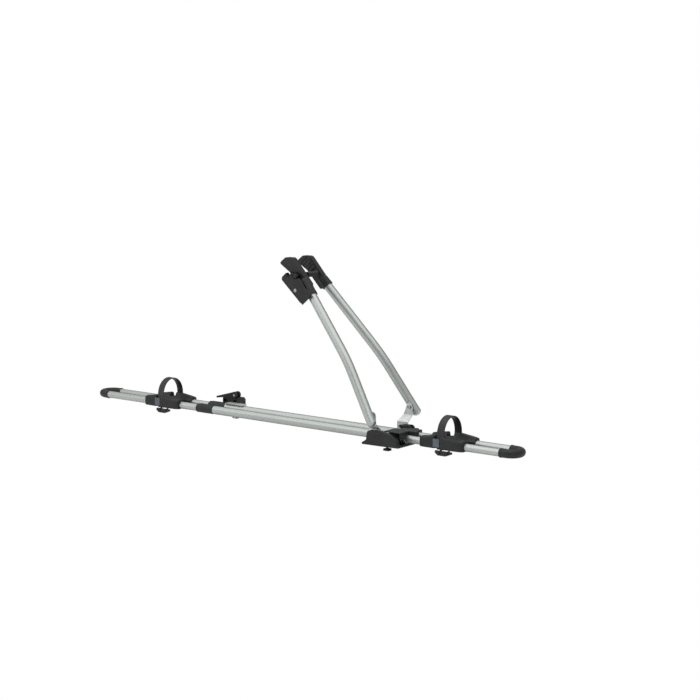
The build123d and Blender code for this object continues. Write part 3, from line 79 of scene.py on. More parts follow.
def surface(name, points, faces, body):
    """A smooth mesh piece from an array of vertex places and a list of faces, riding on a body."""
    mesh = bpy.data.meshes.new(name)
    mesh.from_pydata(points.tolist(), [], faces)
    mesh.update()
    mesh.polygons.foreach_set("use_smooth", [True] * len(mesh.polygons))
    piece = bpy.data.objects.new(name, mesh)
    bpy.context.scene.collection.objects.link(piece)
    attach(piece, body)
    return piece


def grid_faces(rows, columns, wrap_rows=False):
    """Quads between neighbouring points of a grid, row by row. Each row closes on itself."""
    row = np.arange(rows if wrap_rows else rows - 1)[:, None]
    column = np.arange(columns)[None, :]
    here, above = row * columns, (row + 1) % rows * columns
    beside = (column + 1) % columns
    corners = (here + column, here + beside, above + beside, above + column)
    return np.stack(corners, -1).reshape(-1, 4).tolist()


LONGEST_TANGENT_SHARE = 0.49


def rounded_outline(corners, steps=7):
    """A closed outline: each corner (x, y, radius) becomes an arc tangent to both its sides."""
    outline = []
    count = len(corners)
    for i, (x, y, radius) in enumerate(corners):
        here = np.array((x, y))
        back = np.array(corners[i - 1][:2]) - here
        ahead = np.array(corners[(i + 1) % count][:2]) - here
        back_length, ahead_length = np.linalg.norm(back), np.linalg.norm(ahead)
        back, ahead = back / back_length, ahead / ahead_length
        half = np.arccos(np.clip(back @ ahead, -1, 1)) / 2
        reach = min(radius / np.tan(half), LONGEST_TANGENT_SHARE * min(back_length, ahead_length))
        true_radius = reach * np.tan(half)
        bisector = (back + ahead) / np.linalg.norm(back + ahead)
        centre = here + bisector * true_radius / np.sin(half)
        start = here + back * reach - centre
        turn = (pi - 2 * half) * np.sign(back[1] * ahead[0] - back[0] * ahead[1])
        angles = turn * np.arange(steps + 1) / steps
        c, s = np.cos(angles), np.sin(angles)
        arc = np.stack((c * start[0] - s * start[1], s * start[0] + c * start[1]), 1)
        outline.append(centre + arc)
    return np.concatenate(outline)


def inset(outline, distance):
    """The outline moved inward by distance, along the mean normal of each point's two sides."""
    ahead = np.roll(outline, -1, 0) - outline
    back = outline - np.roll(outline, 1, 0)
    tangent = ahead / np.linalg.norm(ahead, axis=1)[:, None] + back / np.linalg.norm(back, axis=1)[:, None]
    tangent /= np.linalg.norm(tangent, axis=1)[:, None]
    area = np.sum(outline[:, 0] * np.roll(outline[:, 1], -1) - np.roll(outline[:, 0], -1) * outline[:, 1])
    normal = np.stack((-tangent[:, 1], tangent[:, 0]), 1) * np.sign(area)
    return outline + normal * distance


def slab(name, outline, levels, place, body):
    """A moulded plate: rings of the outline, one for each (inset, height), with flat ends.

    place turns (a, b, height) arrays into world places.
    """
    rings = [place(*inset(outline, step).T, np.full(len(outline), height)) for step, height in levels]
    points = np.concatenate(rings)
    count = len(outline)
    faces = grid_faces(len(levels), count)
    faces.append(list(range(count))[::-1])
    faces.append(list(range((len(levels) - 1) * count, len(levels) * count)))
    piece = surface(name, points, faces, body)
    piece.data.polygons[len(faces) - 1].use_smooth = False
    piece.data.polygons[len(faces) - 2].use_smooth = False
    return piece


def round_edge(depth, radius, steps=5):
    """Levels of a slab from height 0 to depth whose last edge is a quarter round."""
    levels = [(0, 0), (0, depth - radius)]
    for step in range(1, steps + 1):
        angle = pi / 2 * step / steps
        levels.append((radius * (1 - cos(angle)), depth - radius * (1 - sin(angle))))
    return levels


def lathe(name, start, direction, profile, body, segments=48):
    """A turned piece: profile gives (distance along the axis, radius) and closes on itself."""
    axis = Vector(direction).normalized()
    side = axis.orthogonal().normalized()
    other = axis.cross(side)
    angles = 2 * pi * np.arange(segments) / segments
    round_ring = np.outer(np.cos(angles), side) + np.outer(np.sin(angles), other)
    rings = [np.array(start) + np.array(axis) * along + round_ring * radius for along, radius in profile]
    points = np.concatenate(rings)
    return surface(name, points, grid_faces(len(profile), segments, wrap_rows=True), body)


def swept(name, centres, frames, sections, body):
    """Rings of a section carried along centres; frames holds each ring's two cross directions."""
    rings = []
    for centre, (across, up), section in zip(centres, frames, sections):
        rings.append(centre + np.outer(section[:, 0], across) + np.outer(section[:, 1], up))
    count = len(sections[0])
    faces = grid_faces(len(rings), count)
    faces.append(list(range(count)))
    faces.append(list(range((len(rings) - 1) * count, len(rings) * count))[::-1])
    return surface(name, np.concatenate(rings), faces, body)


# Materials

class Shader:
    """A node material built from Object coordinates, so its detail stays with the piece."""

    def __init__(self, name, base, metallic=0.0, roughness=0.5):
        self.material = bpy.data.materials.new(name)
        self.material.use_nodes = True
        self.tree = self.material.node_tree
        self.tree.nodes.clear()
        self.output = self.tree.nodes.new("ShaderNodeOutputMaterial")
        self.shader = self.tree.nodes.new("ShaderNodeBsdfPrincipled")
        self.shader.inputs["Base Color"].default_value = (*base, 1)
        self.shader.inputs["Metallic"].default_value = metallic
        self.shader.inputs["Roughness"].default_value = roughness
        self.tree.links.new(self.shader.outputs["BSDF"], self.output.inputs["Surface"])
        self.coordinates = self.tree.nodes.new("ShaderNodeTexCoord").outputs["Object"]
        self.normal = None

    def mapped(self, stretch=(1, 1, 1), turn=(0, 0, 0)):
        """Object coordinates turned and then stretched."""
        turned = self.tree.nodes.new("ShaderNodeMapping")
        turned.inputs["Rotation"].default_value = turn
        self.tree.links.new(self.coordinates, turned.inputs["Vector"])
        scaled = self.tree.nodes.new("ShaderNodeMapping")
        scaled.inputs["Scale"].default_value = stretch
        self.tree.links.new(turned.outputs["Vector"], scaled.inputs["Vector"])
        return scaled.outputs["Vector"]

    def noise(self, scale, detail=3.0, stretch=(1, 1, 1), turn=(0, 0, 0)):
        """Smooth noise of so many waves per metre."""
        node = self.tree.nodes.new("ShaderNodeTexNoise")
        node.inputs["Scale"].default_value = scale
        node.inputs["Detail"].default_value = detail
        self.tree.links.new(self.mapped(stretch, turn), node.inputs["Vector"])
        return node.outputs["Fac"]

    def grain(self, scale):
        """Small round cells, as spark eroded moulds leave on plastic."""
        node = self.tree.nodes.new("ShaderNodeTexVoronoi")
        node.inputs["Scale"].default_value = scale
        self.tree.links.new(self.mapped(), node.inputs["Vector"])
        return node.outputs["Distance"]

    def ramp(self, factor, low, high, low_value, high_value):
        """A value that goes from low_value to high_value as factor goes from low to high."""
        node = self.tree.nodes.new("ShaderNodeMapRange")
        limits = {"From Min": low, "From Max": high, "To Min": low_value, "To Max": high_value}
        for socket, value in limits.items():
            node.inputs[socket].default_value = value
        self.tree.links.new(factor, node.inputs["Value"])
        return node.outputs["Result"]

    def blend(self, factor, first, second):
        """A colour between two colours or sockets."""
        node = self.tree.nodes.new("ShaderNodeMix")
        node.data_type = "RGBA"
        self.tree.links.new(factor, node.inputs["Factor"])
        for socket, value in ((node.inputs[6], first), (node.inputs[7], second)):
            if isinstance(value, tuple):
                socket.default_value = (*value, 1)
            else:
                self.tree.links.new(value, socket)
        return node.outputs[2]

    def set(self, socket, value):
        """Drives one of the shader's own sockets."""
        self.tree.links.new(value, self.shader.inputs[socket])

    def bump(self, height, distance, strength=1.0):
        """Adds a bump layer on top of those already there."""
        node = self.tree.nodes.new("ShaderNodeBump")
        node.inputs["Distance"].default_value = distance
        node.inputs["Strength"].default_value = strength
        self.tree.links.new(height, node.inputs["Height"])
        if self.normal:
            self.tree.links.new(self.normal, node.inputs["Normal"])
        self.normal = node.outputs["Normal"]
        self.tree.links.new(self.normal, self.shader.inputs["Normal"])


def aluminium(name, turn):
    """Satin anodised tube: long extrusion lines and a faint cloud in the film."""
    made = Shader(name, (0.4, 0.425, 0.41), metallic=1.0, roughness=0.4)
    lines = made.noise(420, 1, stretch=(0.008, 1, 1), turn=turn)
    cloud = made.noise(9, 1, stretch=(0.4, 1, 1), turn=turn)
    tone = made.blend(made.ramp(cloud, 0.3, 0.7, 0, 1), (0.39, 0.415, 0.4), (0.43, 0.455, 0.44))
    made.set("Base Color", tone)
    made.set("Roughness", made.ramp(lines, 0.3, 0.7, 0.38, 0.42))
    made.bump(lines, 0.000004)
    return made.material


def moulding(name, base, lighter, roughness=0.5):
    """Filled nylon: fine spark grain, slow changes of tone and lightly polished patches."""
    made = Shader(name, base, roughness=roughness)
    made.shader.inputs["Specular IOR Level"].default_value = 0.36
    cloud = made.noise(35, 5)
    made.set("Base Color", made.blend(made.ramp(cloud, 0.35, 0.7, 0, 1), base, lighter))
    made.set("Roughness", made.ramp(made.noise(60, 4), 0.3, 0.7, roughness - 0.07, roughness + 0.09))
    made.bump(made.grain(1500), 0.00005, 0.5)
    made.bump(made.noise(4000, 2), 0.00002)
    return made.material


def rubber():
    """Moulded rubber: dull, with a fine dusty bloom."""
    made = Shader("black_rubber", (0.02, 0.02, 0.021), roughness=0.82)
    bloom = made.ramp(made.noise(90, 5), 0.45, 0.75, 0, 1)
    made.set("Base Color", made.blend(bloom, (0.016, 0.016, 0.017), (0.045, 0.044, 0.043)))
    made.bump(made.noise(2600, 3), 0.00006)
    return made.material


def sheet_metal():
    """Pressed sheet: rolled grain along the strip and a few dull spots."""
    made = Shader("bright_sheet", (0.6, 0.62, 0.61), metallic=1.0, roughness=0.55)
    rolled = made.noise(700, 3, stretch=(1, 0.03, 0.03))
    spots = made.ramp(made.noise(70, 5), 0.5, 0.72, 0, 1)
    made.set("Base Color", made.blend(spots, (0.64, 0.66, 0.645), (0.55, 0.57, 0.56)))
    made.set("Roughness", made.ramp(rolled, 0.3, 0.7, 0.5, 0.62))
    made.bump(rolled, 0.00004)
    return made.material


def plated_steel(name, light, dark, roughness):
    """Plated hardware: blotchy film over a turned surface."""
    made = Shader(name, light, metallic=1.0, roughness=roughness)
    blotch = made.ramp(made.noise(260, 4), 0.35, 0.7, 0, 1)
    made.set("Base Color", made.blend(blotch, light, dark))
    made.set("Roughness", made.ramp(made.noise(500, 3), 0.3, 0.7, roughness - 0.08, roughness + 0.12))
    made.bump(made.noise(3000, 2), 0.00003)
    return made.material


MATERIALS = {
    "satin_aluminium": aluminium("satin_aluminium", (0, 0, 0)),
    "black_moulding": moulding("black_moulding", (0.008, 0.0085, 0.009), (0.015, 0.0155, 0.0165)),
    "grey_moulding": moulding("grey_moulding", (0.075, 0.09, 0.11), (0.1, 0.115, 0.135), 0.42),
    "strap_plastic": moulding("strap_plastic", (0.014, 0.0145, 0.0155), (0.024, 0.025, 0.027), 0.44),
    "black_rubber": rubber(),
    "bright_sheet": sheet_metal(),
    "zinc_steel": plated_steel("zinc_steel", (0.5, 0.51, 0.52), (0.36, 0.37, 0.39), 0.34),
    "black_steel": plated_steel("black_steel", (0.05, 0.05, 0.055), (0.03, 0.03, 0.034), 0.4),
    "lock_chrome": plated_steel("lock_chrome", (0.62, 0.63, 0.64), (0.5, 0.51, 0.52), 0.2),
}
UPPER_LEAN, LOWER_LEAN = 0.885, 0.663
arm_turn = (0, pi / 2 - np.arctan((UPPER_LEAN + LOWER_LEAN) / 2), 0)
arm_aluminium = aluminium("arm_aluminium", tuple(arm_turn))

node_slot = {entry["node"]: entry["material_slot"] for entry in frame["record"]["subparts"]}


def dress(piece, slot_name, material=None):
    """Gives a piece the material of a slot name, or the material given."""
    piece.data.materials.clear()
    piece.data.materials.append(material or MATERIALS[slot_name])
    return piece


EASED_ANGLE, REAL_EDGE_ANGLE = 38, 32


def ease_edges(piece, width, steps=3):
    """Rounds a piece's sharp edges, as moulding and deburring do."""
    bevel = piece.modifiers.new("eased edges", "BEVEL")
    bevel.width = width
    bevel.segments = steps
    bevel.limit_method = "ANGLE"
    bevel.angle_limit = radians(EASED_ANGLE)
    bevel.harden_normals = False


def smooth_faces(piece):
    """Shades a piece as one smooth skin that still breaks at its real edges."""
    piece.data.polygons.foreach_set("use_smooth", [True] * len(piece.data.polygons))
    split = piece.modifiers.new("real edges", "EDGE_SPLIT")
    split.split_angle = radians(REAL_EDGE_ANGLE)
    weighted = piece.modifiers.new("flat stays flat", "WEIGHTED_NORMAL")
    weighted.keep_sharp = True


EASED = {"black_moulding": 0.9 * MM, "grey_moulding": 0.5 * MM, "bright_sheet": 0.5 * MM}
for node_name, node in nodes.items():
    slot_name = node_slot[node_name]
    material = arm_aluminium if node_name in ("near_arm", "far_arm") else MATERIALS[slot_name]
    node.data.materials.clear()
    node.data.materials.append(material)
    joined = node.modifiers.new("joined triangles", "WELD")
    joined.merge_threshold = 0.002 * MM
    if slot_name in EASED:
        ease_edges(node, EASED[slot_name])
    smooth_faces(node)


# Camera at the photograph's place

CAMERA_PLACE = (2.4002, -3.3292, 0.8377)
CAMERA_RIGHT = (0.7925970, 0.6097423, 0.0020694)
CAMERA_UP = (-0.0886847, 0.1119211, 0.9897518)
CAMERA_BACK = (0.6032619, -0.7846579, 0.1427832)
SENSOR = 36.0
FOCAL_PIXELS, PICTURE_PIXELS = 1618.07, 700
camera_data = bpy.data.cameras.new("camera")
camera_data.sensor_fit = "HORIZONTAL"
camera_data.sensor_width = SENSOR
camera_data.lens = FOCAL_PIXELS / PICTURE_PIXELS * SENSOR
camera_data.clip_end = 100
camera = bpy.data.objects.new("camera", camera_data)
camera.matrix_world = Matrix([
    (right, up, back, place)
    for right, up, back, place in zip(CAMERA_RIGHT, CAMERA_UP, CAMERA_BACK, CAMERA_PLACE)
] + [(0, 0, 0, 1)])
bpy.context.scene.collection.objects.link(camera)
bpy.context.scene.camera = camera


# Floor, backdrop and light

def white_floor():
    """A pale floor that the camera sees as plain white paper, with a trace of shadow."""
    made = Shader("paper", (0.92, 0.92, 0.92), roughness=0.9)
    tree = made.tree
    glow = tree.nodes.new("ShaderNodeEmission")
    glow.inputs["Color"].default_value = (1, 1, 1, 1)
    glow.inputs["Strength"].default_value = 1.0
    path = tree.nodes.new("ShaderNodeLightPath")
    mix = tree.nodes.new("ShaderNodeMixShader")
    tree.links.new(path.outputs["Is Camera Ray"], mix.inputs[0])
    tree.links.new(made.shader.outputs["BSDF"], mix.inputs[1])
    tree.links.new(glow.outputs["Emission"], mix.inputs[2])
    tree.links.new(mix.outputs["Shader"], made.output.inputs["Surface"])
    return made.material


FLOOR_DROP = 0.0005
FLOOR_REACH = 12.0
floor_height = low_before[2] - FLOOR_DROP
floor_corners = [(x, y, floor_height) for x, y in ((-1, -1), (1, -1), (1, 1), (-1, 1))]
floor_corners = [(x * FLOOR_REACH, y * FLOOR_REACH, z) for x, y, z in floor_corners]
floor_mesh = bpy.data.meshes.new("floor")
floor_mesh.from_pydata(floor_corners, [], [(0, 1, 2, 3)])
floor = bpy.data.objects.new("floor", floor_mesh)
floor.data.materials.append(white_floor())
bpy.context.scene.collection.objects.link(floor)

world = bpy.data.worlds.new("studio")
bpy.context.scene.world = world
world.use_nodes = True
sky = world.node_tree
background = sky.nodes["Background"]
background.inputs["Color"].default_value = (1, 1, 1, 1)
background.inputs["Strength"].default_value = 0.5
white = sky.nodes.new("ShaderNodeBackground")
white.inputs["Color"].default_value = (1, 1, 1, 1)
white.inputs["Strength"].default_value = 1.0
seen = sky.nodes.new("ShaderNodeLightPath")
choice = sky.nodes.new("ShaderNodeMixShader")
sky.links.new(seen.outputs["Is Camera Ray"], choice.inputs[0])
sky.links.new(background.outputs["Background"], choice.inputs[1])
sky.links.new(white.outputs["Background"], choice.inputs[2])
sky.links.new(choice.outputs["Shader"], sky.nodes["World Output"].inputs["Surface"])


def soft_light(name, place, target, size, power):
    """A large area light aimed at a place."""
    data = bpy.data.lights.new(name, "AREA")
    data.shape = "RECTANGLE"
    data.size, data.size_y = size
    data.energy = power
    lamp = bpy.data.objects.new(name, data)
    lamp.matrix_world = Matrix.Translation(place) @ (
        (Vector(target) - Vector(place)).to_track_quat("-Z", "Y").to_matrix().to_4x4()
    )
    bpy.context.scene.collection.objects.link(lamp)


MIDDLE = (-0.35, 0.0, 0.15)
soft_light("overhead", (-0.3, -0.4, 3.2), MIDDLE, (7.0, 5.0), 130)
soft_light("front_left", (-3.0, -3.6, 2.2), MIDDLE, (4.0, 3.0), 40)

bpy.context.scene.view_settings.view_transform = "Standard"
bpy.context.scene.view_settings.look = "None"


# Rails' places, read from the frame

rail_low, rail_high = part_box("far_front_rail")
RAIL_Y = (rail_low.y + rail_high.y) / 2
RAIL_Z = (rail_low.z + rail_high.z) / 2
THIN_RADIUS = (rail_high.z - rail_low.z) / 2


# Wheel holders

HOLDER_BORE = THIN_RADIUS + 0.3 * MM
TROUGH_HEIGHT, TROUGH_RADIUS = 30 * MM, 26 * MM
# Stations of a sleeve: place along it, reach to the centre plane's side and to the outside, top and
# bottom, all from the rail's axis, and the radius of its upper outer corner
COLLAR_STATIONS = (
    (-66.0, 12.0, 11.8, 14.6, 11.0, 7), (-65.2, 12.9, 12.8, 15.4, 11.5, 8),
    (-63.4, 13.4, 13.3, 15.9, 11.8, 9), (-50.0, 13.5, 13.5, 17.8, 12.0, 9),
    (-36.0, 13.5, 13.5, 20.2, 12.0, 9), (-26.0, 13.5, 13.5, 21.8, 12.0, 9),
    (-23.8, 13.4, 13.3, 22.0, 11.9, 9), (-22.2, 13.0, 12.8, 21.6, 11.5, 8),
    (-21.6, 12.2, 11.9, 20.7, 10.8, 7),
)
WAIST_STATIONS = ((-21.5, 11.6, 11.6, 11.6, 11.6, 4), (-1.5, 11.6, 11.6, 11.6, 11.6, 4))
BODY_STATIONS = (
    (-1.4, 12.3, 17.2, 21.9, 10.2, 8), (-0.7, 13.0, 18.2, 23.0, 11.0, 9),
    (1.0, 13.4, 18.8, 23.5, 11.4, 10), (6.0, 13.5, 19.0, 23.0, 11.6, 10),
    (24.0, 13.5, 19.0, 20.9, 11.6, 10), (40.0, 13.5, 18.6, 19.0, 11.6, 10),
    (52.0, 13.5, 17.6, 17.6, 11.6, 9), (59.0, 13.4, 16.2, 16.6, 11.5, 8),
    (63.5, 13.2, 14.9, 15.8, 11.3, 7), (65.4, 12.7, 14.0, 15.0, 10.9, 6),
    (66.0, 11.9, 12.9, 14.0, 10.3, 6),
)
SLEEVE_LOWER_INNER, SLEEVE_LOWER_OUTER, SLEEVE_LIP = 3 * MM, 5 * MM, 1 * MM


def sleeve_section(inner, outer, top, bottom, corner):
    """A sleeve's section round the rail's axis, seen along X: first axis away from the centre
    plane, second axis up. Its inner upper side follows the tyre's trough, an arc of a circle."""
    trough_at_top = (TROUGH_RADIUS**2 - (TROUGH_HEIGHT - top) ** 2) ** 0.5 - RAIL_Y
    trough_at_side = TROUGH_HEIGHT - (TROUGH_RADIUS**2 - (RAIL_Y - inner) ** 2) ** 0.5
    corners = [
        (-inner, -bottom, SLEEVE_LOWER_INNER), (outer, -bottom, SLEEVE_LOWER_OUTER),
        (outer, top, corner), (trough_at_top, top, SLEEVE_LIP),
    ]
    for share in (0.25, 0.5, 0.75):
        across = trough_at_top + (-inner - trough_at_top) * share
        height = TROUGH_HEIGHT - (TROUGH_RADIUS**2 - (RAIL_Y + across) ** 2) ** 0.5
        corners.append((across, height, TROUGH_RADIUS))
    corners.append((-inner, trough_at_side, SLEEVE_LIP))
    return rounded_outline(corners)


def sleeve(name, centre_x, side, stations, body):
    """A moulded sleeve round one rail: outer rings at the stations, closed through its bore."""
    rings = []
    outers = [(centre_x + x * MM, sleeve_section(*(size * MM for size in sizes))) for x, *sizes in stations]
    angles = np.arctan2(outers[0][1][:, 1], outers[0][1][:, 0])
    bore = np.stack((HOLDER_BORE * np.cos(angles), HOLDER_BORE * np.sin(angles)), 1)
    for x, ring in [(outers[0][0], bore)] + outers + [(outers[-1][0], bore)]:
        across = side * (RAIL_Y + ring[:, 0])
        rings.append(np.stack((np.full(len(ring), x), across, RAIL_Z + ring[:, 1]), 1))
    faces = grid_faces(len(rings), len(angles), wrap_rows=True)
    if side == FAR:
        faces = [face[::-1] for face in faces]
    return surface(name, np.concatenate(rings), faces, body)


def side_place(side, line, base_x=0.0):
    """Outlines drawn in X and Z on a plane at Y = side * line, heights going outward."""
    def place(a, b, height):
        return np.stack((base_x + a, side * (line + height), b), 1)
    return place


LATCH_LINE, LATCH_HEIGHT = 41 * MM, 6.2 * MM
STRAP_LINE, STRAP_WIDTH, STRAP_THICKNESS = 39.8 * MM, 22 * MM, 2.4 * MM
STRAP_SHOULDER, STRAP_CROWN, STRAP_FOOT = 48 * MM, 94 * MM, 12 * MM
TOOTH_PITCH, TOOTH_HEIGHT = 3.2 * MM, 0.5 * MM
PLAIN_END = 12 * MM
STRAP_CHAMFER, STRAP_RIM, STRAP_RIM_END, TOOTH_END = 0.6 * MM, 0.8 * MM, 2.2 * MM, 3.0 * MM
LEG_STEPS, ARCH_STEPS = 50, 260
TOOTHED_POINTS = [7, 8]


def path_travel(line):
    """Distance along a path from its first point to each of its points."""
    steps = np.diff(line, axis=0)
    return np.concatenate(([0], np.cumsum(np.hypot(steps[:, 0], steps[:, 1]))))


def path_tangent(line):
    """The unit direction of a path at each of its points."""
    tangent = np.gradient(line, axis=0)
    return tangent / np.linalg.norm(tangent, axis=1)[:, None]


def strap_arch(name, centre_x, body):
    """A strap over the tyre: a flat band along two legs and a half ellipse between them, with
    teeth across its outer face, each a raised cosine along the strap's length."""
    legs = np.linspace(STRAP_FOOT, STRAP_SHOULDER, LEG_STEPS)
    angles = np.linspace(0, pi, ARCH_STEPS)[1:-1]
    rise = STRAP_CROWN - STRAP_THICKNESS / 2 - STRAP_SHOULDER
    line = np.concatenate((
        np.stack((np.full(LEG_STEPS, -STRAP_LINE), legs), 1),
        np.stack((-STRAP_LINE * np.cos(angles), STRAP_SHOULDER + rise * np.sin(angles)), 1),
        np.stack((np.full(LEG_STEPS, STRAP_LINE), legs[::-1]), 1),
    ))
    travel = path_travel(line)
    tangent = path_tangent(line)
    normal = np.stack((-tangent[:, 1], tangent[:, 0]), 1)
    toothed = (travel > PLAIN_END) & (travel < travel[-1] - PLAIN_END)
    teeth = TOOTH_HEIGHT * (0.5 - 0.5 * np.cos(2 * pi * travel / TOOTH_PITCH)) * toothed
    half, thin = STRAP_WIDTH / 2, STRAP_THICKNESS / 2
    widths = np.array((
        -half, -half + STRAP_CHAMFER, half - STRAP_CHAMFER, half, half, half - STRAP_RIM,
        half - STRAP_RIM_END, half - TOOTH_END, -half + TOOTH_END, -half + STRAP_RIM_END,
        -half + STRAP_RIM, -half,
    ))
    height_shares = np.array((-0.5, -1, -1, -0.5, 0.4, 1, 1, 0, 0, 1, 1, 0.4))
    heights = np.tile(thin * height_shares, (len(line), 1))
    heights[:, TOOTHED_POINTS] = (thin - TOOTH_HEIGHT + teeth)[:, None]
    y = line[:, :1] + normal[:, :1] * heights
    z = line[:, 1:] + normal[:, 1:] * heights
    points = np.stack((np.broadcast_to(centre_x + widths, y.shape), y, z), -1).reshape(-1, 3)
    count = len(widths)
    faces = grid_faces(len(line), count)
    faces += [list(range(count)), list(range(len(points) - count, len(points)))[::-1]]
    return surface(name, points, faces, body)


def cross_place(base_x, side):
    """Outlines drawn in Y and Z on a plane at X = base_x, heights going to the front."""
    def place(a, b, height):
        return np.stack((base_x + height, side * a, b), 1)
    return place


WEB_OVERLAP = 12.6 * MM
LUG_TOP_DROP, LUG_REACH, LUG_DEPTH, LUG_RIM = 12 * MM, 3 * MM, 3.6 * MM, 0.4 * MM
LUG_PLACES = {"rear_lug": 0.0, "front_lug": 24 * MM}


def holder_web(name, centre_x, body):
    """The floor between a holder's sleeves: low in the middle, with a ramp to each end."""
    outline = rounded_outline(millimetres(
        (-21.5, 10.5, 1.5), (66, 10.5, 1.5), (66, 27, 1.5), (60, 26, 6), (30, 17, 20),
        (-8, 17, 14), (-21.5, 27, 1.5),
    ))
    half = RAIL_Y - WEB_OVERLAP
    return slab(name, outline, [(0, -half), (0, half)], side_place(FAR, 0, centre_x), body)


def latch_lug(name, x, body):
    """A rounded ear under the near sleeve that carries the latch's pin."""
    top, bottom = RAIL_Z - LUG_TOP_DROP, LATCH_HEIGHT - LUG_REACH
    left, right = LATCH_LINE - LUG_REACH, LATCH_LINE + LUG_REACH
    tip, corner = LUG_REACH * 0.98, LUG_RIM / 2
    outline = rounded_outline((
        (left, top, corner), (right, top, corner), (right, bottom, tip), (left, bottom, tip),
    ))
    return slab(name, outline, round_edge(LUG_DEPTH, LUG_RIM, 2), cross_place(x, NEAR), body)


def wheel_holder(end_name):
    """All the mouldings of one wheel holder: three sleeves round each rail, the floor and the lugs."""
    holder_low, holder_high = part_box(f"{end_name}_wheel_holder")
    centre_x = (holder_low.x + holder_high.x) / 2
    body = f"{end_name}_holder"
    made = []
    for side_name, side in (("near", NEAR), ("far", FAR)):
        for part_name, stations in (
            ("collar", COLLAR_STATIONS), ("waist", WAIST_STATIONS), ("body", BODY_STATIONS),
        ):
            name = f"{end_name}_{side_name}_{part_name}"
            made.append(dress(sleeve(name, centre_x, side, stations, body), "black_moulding"))
    made.append(dress(holder_web(f"{end_name}_web", centre_x, body), "black_moulding"))
    for lug_name, lug_x in LUG_PLACES.items():
        lug = latch_lug(f"{end_name}_holder_{lug_name}", centre_x + lug_x, body)
        made.append(dress(lug, "black_moulding"))
    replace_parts(made[0], f"{end_name}_wheel_holder")


for end_name in ("rear", "front"):
    wheel_holder(end_name)
    strap_low, strap_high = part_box(f"{end_name}_strap")
    strap_middle = (strap_low.x + strap_high.x) / 2
    arch = strap_arch(f"{end_name}_toothed_strap", strap_middle, f"{end_name}_holder")
    dress(arch, "strap_plastic")
    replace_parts(arch, f"{end_name}_strap")


# End bows

BOW_RADIUS, BOW_STRAIGHT = 12 * MM, 15 * MM
BOW_COLLAR, BOW_COLLAR_FADE, BOW_COLLAR_RISE = 4 * MM, 2.5 * MM, 0.7 * MM
BOW_LIP, BOW_LIP_DROP, BOW_FIT = 0.8 * MM, 0.5 * MM, 0.1 * MM
STRAIGHT_STEPS, TURN_STEPS, ROUND_STEPS = 22, 56, 48


def end_bow(name, mouth_x, way, body):
    """A bow joining both rails: rings along a straight, a half circle and a straight. The tube is
    a little full at both mouths and narrows past them by a smooth step."""
    run = np.linspace(0, BOW_STRAIGHT, STRAIGHT_STEPS)
    turn = np.linspace(0, pi, TURN_STEPS)[1:-1]
    bend_x = mouth_x + way * (BOW_STRAIGHT + RAIL_Y * np.sin(turn))
    line = np.concatenate((
        np.stack((mouth_x + way * run, np.full(STRAIGHT_STEPS, -RAIL_Y)), 1),
        np.stack((bend_x, -RAIL_Y * np.cos(turn)), 1),
        np.stack((mouth_x + way * run[::-1], np.full(STRAIGHT_STEPS, RAIL_Y)), 1),
    ))
    tangent = path_tangent(line)
    travel = path_travel(line)
    depth = np.minimum(travel, travel[-1] - travel)
    collar = 0.5 + 0.5 * np.cos(pi * np.clip((depth - BOW_COLLAR) / BOW_COLLAR_FADE, 0, 1))
    lip = np.clip(depth / BOW_LIP, 0, 1)
    radius = BOW_RADIUS - BOW_COLLAR_RISE * (1 - collar) - BOW_LIP_DROP * (1 - lip)
    angles = 2 * pi * np.arange(ROUND_STEPS) / ROUND_STEPS
    circle = np.stack((np.cos(angles), np.sin(angles)), 1)
    bore = (THIN_RADIUS + BOW_FIT) * circle
    rings = [bore] + [r * circle for r in radius] + [bore]
    centres = [np.array((x, y, RAIL_Z)) for x, y in line]
    frames = [(np.array((-ty, tx, 0)), np.array((0, 0, 1))) for tx, ty in tangent]
    centres = [centres[0]] + centres + [centres[-1]]
    frames = [frames[0]] + frames + [frames[-1]]
    return swept(name, centres, frames, rings, body)


for end_name, way in (("rear", -1), ("front", 1)):
    bow_low, bow_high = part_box(f"{end_name}_end_bow")
    mouth = bow_high.x if way < 0 else bow_low.x
    bow = dress(end_bow(f"{end_name}_bow", mouth, way, "tray"), "black_moulding")
    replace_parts(bow, f"{end_name}_end_bow")


# Locks: the cover's dark barrel and the frame lever's bright one, each with a narrow keyway drawn as a black
# slab of painted shade

LOCK_FIT, LOCK_RIM = 0.1 * MM, 0.6 * MM
KEYWAY_HALF_WIDTH, KEYWAY_HALF_HEIGHT, KEYWAY_CORNER = 0.5 * MM, 2.7 * MM, 0.3 * MM
KEYWAY_DEPTH, KEYWAY_PROUD = 1 * MM, 0.1 * MM


def circle_outline(a, b, radius, count=40):
    """A circle's points."""
    angles = 2 * pi * np.arange(count) / count
    return np.stack((a + radius * np.cos(angles), b + radius * np.sin(angles)), 1)


def lock_face(node, body, material, proud):
    """A lock barrel with a soft rim, longer than its node by proud, and in its face a black slab that is
    painted shade where the keyway's slot would be dark.
    """
    lock_low, lock_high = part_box(node)
    a, b = (lock_low.x + lock_high.x) / 2, (lock_low.z + lock_high.z) / 2
    depth = lock_high.y - lock_low.y + proud
    radius = (lock_high.x - lock_low.x) / 2 - LOCK_FIT
    place = side_place(NEAR, -lock_high.y)
    barrel = slab(f"{node}_face", circle_outline(a, b, radius), round_edge(depth, LOCK_RIM), place, body)
    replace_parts(dress(barrel, material), node)
    left, right = a - KEYWAY_HALF_WIDTH, a + KEYWAY_HALF_WIDTH
    lower, upper = b - KEYWAY_HALF_HEIGHT, b + KEYWAY_HALF_HEIGHT
    keyway = rounded_outline(
        [(x, z, KEYWAY_CORNER) for x, z in ((left, lower), (right, lower), (right, upper), (left, upper))], 3
    )
    # Painted shade: the keyway is not cut. A black slab, sunk 1 mm and standing 0.1 mm proud of the face,
    # stands in for the slot's dark hollow.
    levels = [(0, depth - KEYWAY_DEPTH), (0, depth + KEYWAY_PROUD)]
    dress(slab(f"{node}_keyway_shade_insert", keyway, levels, place, body), "black_rubber")


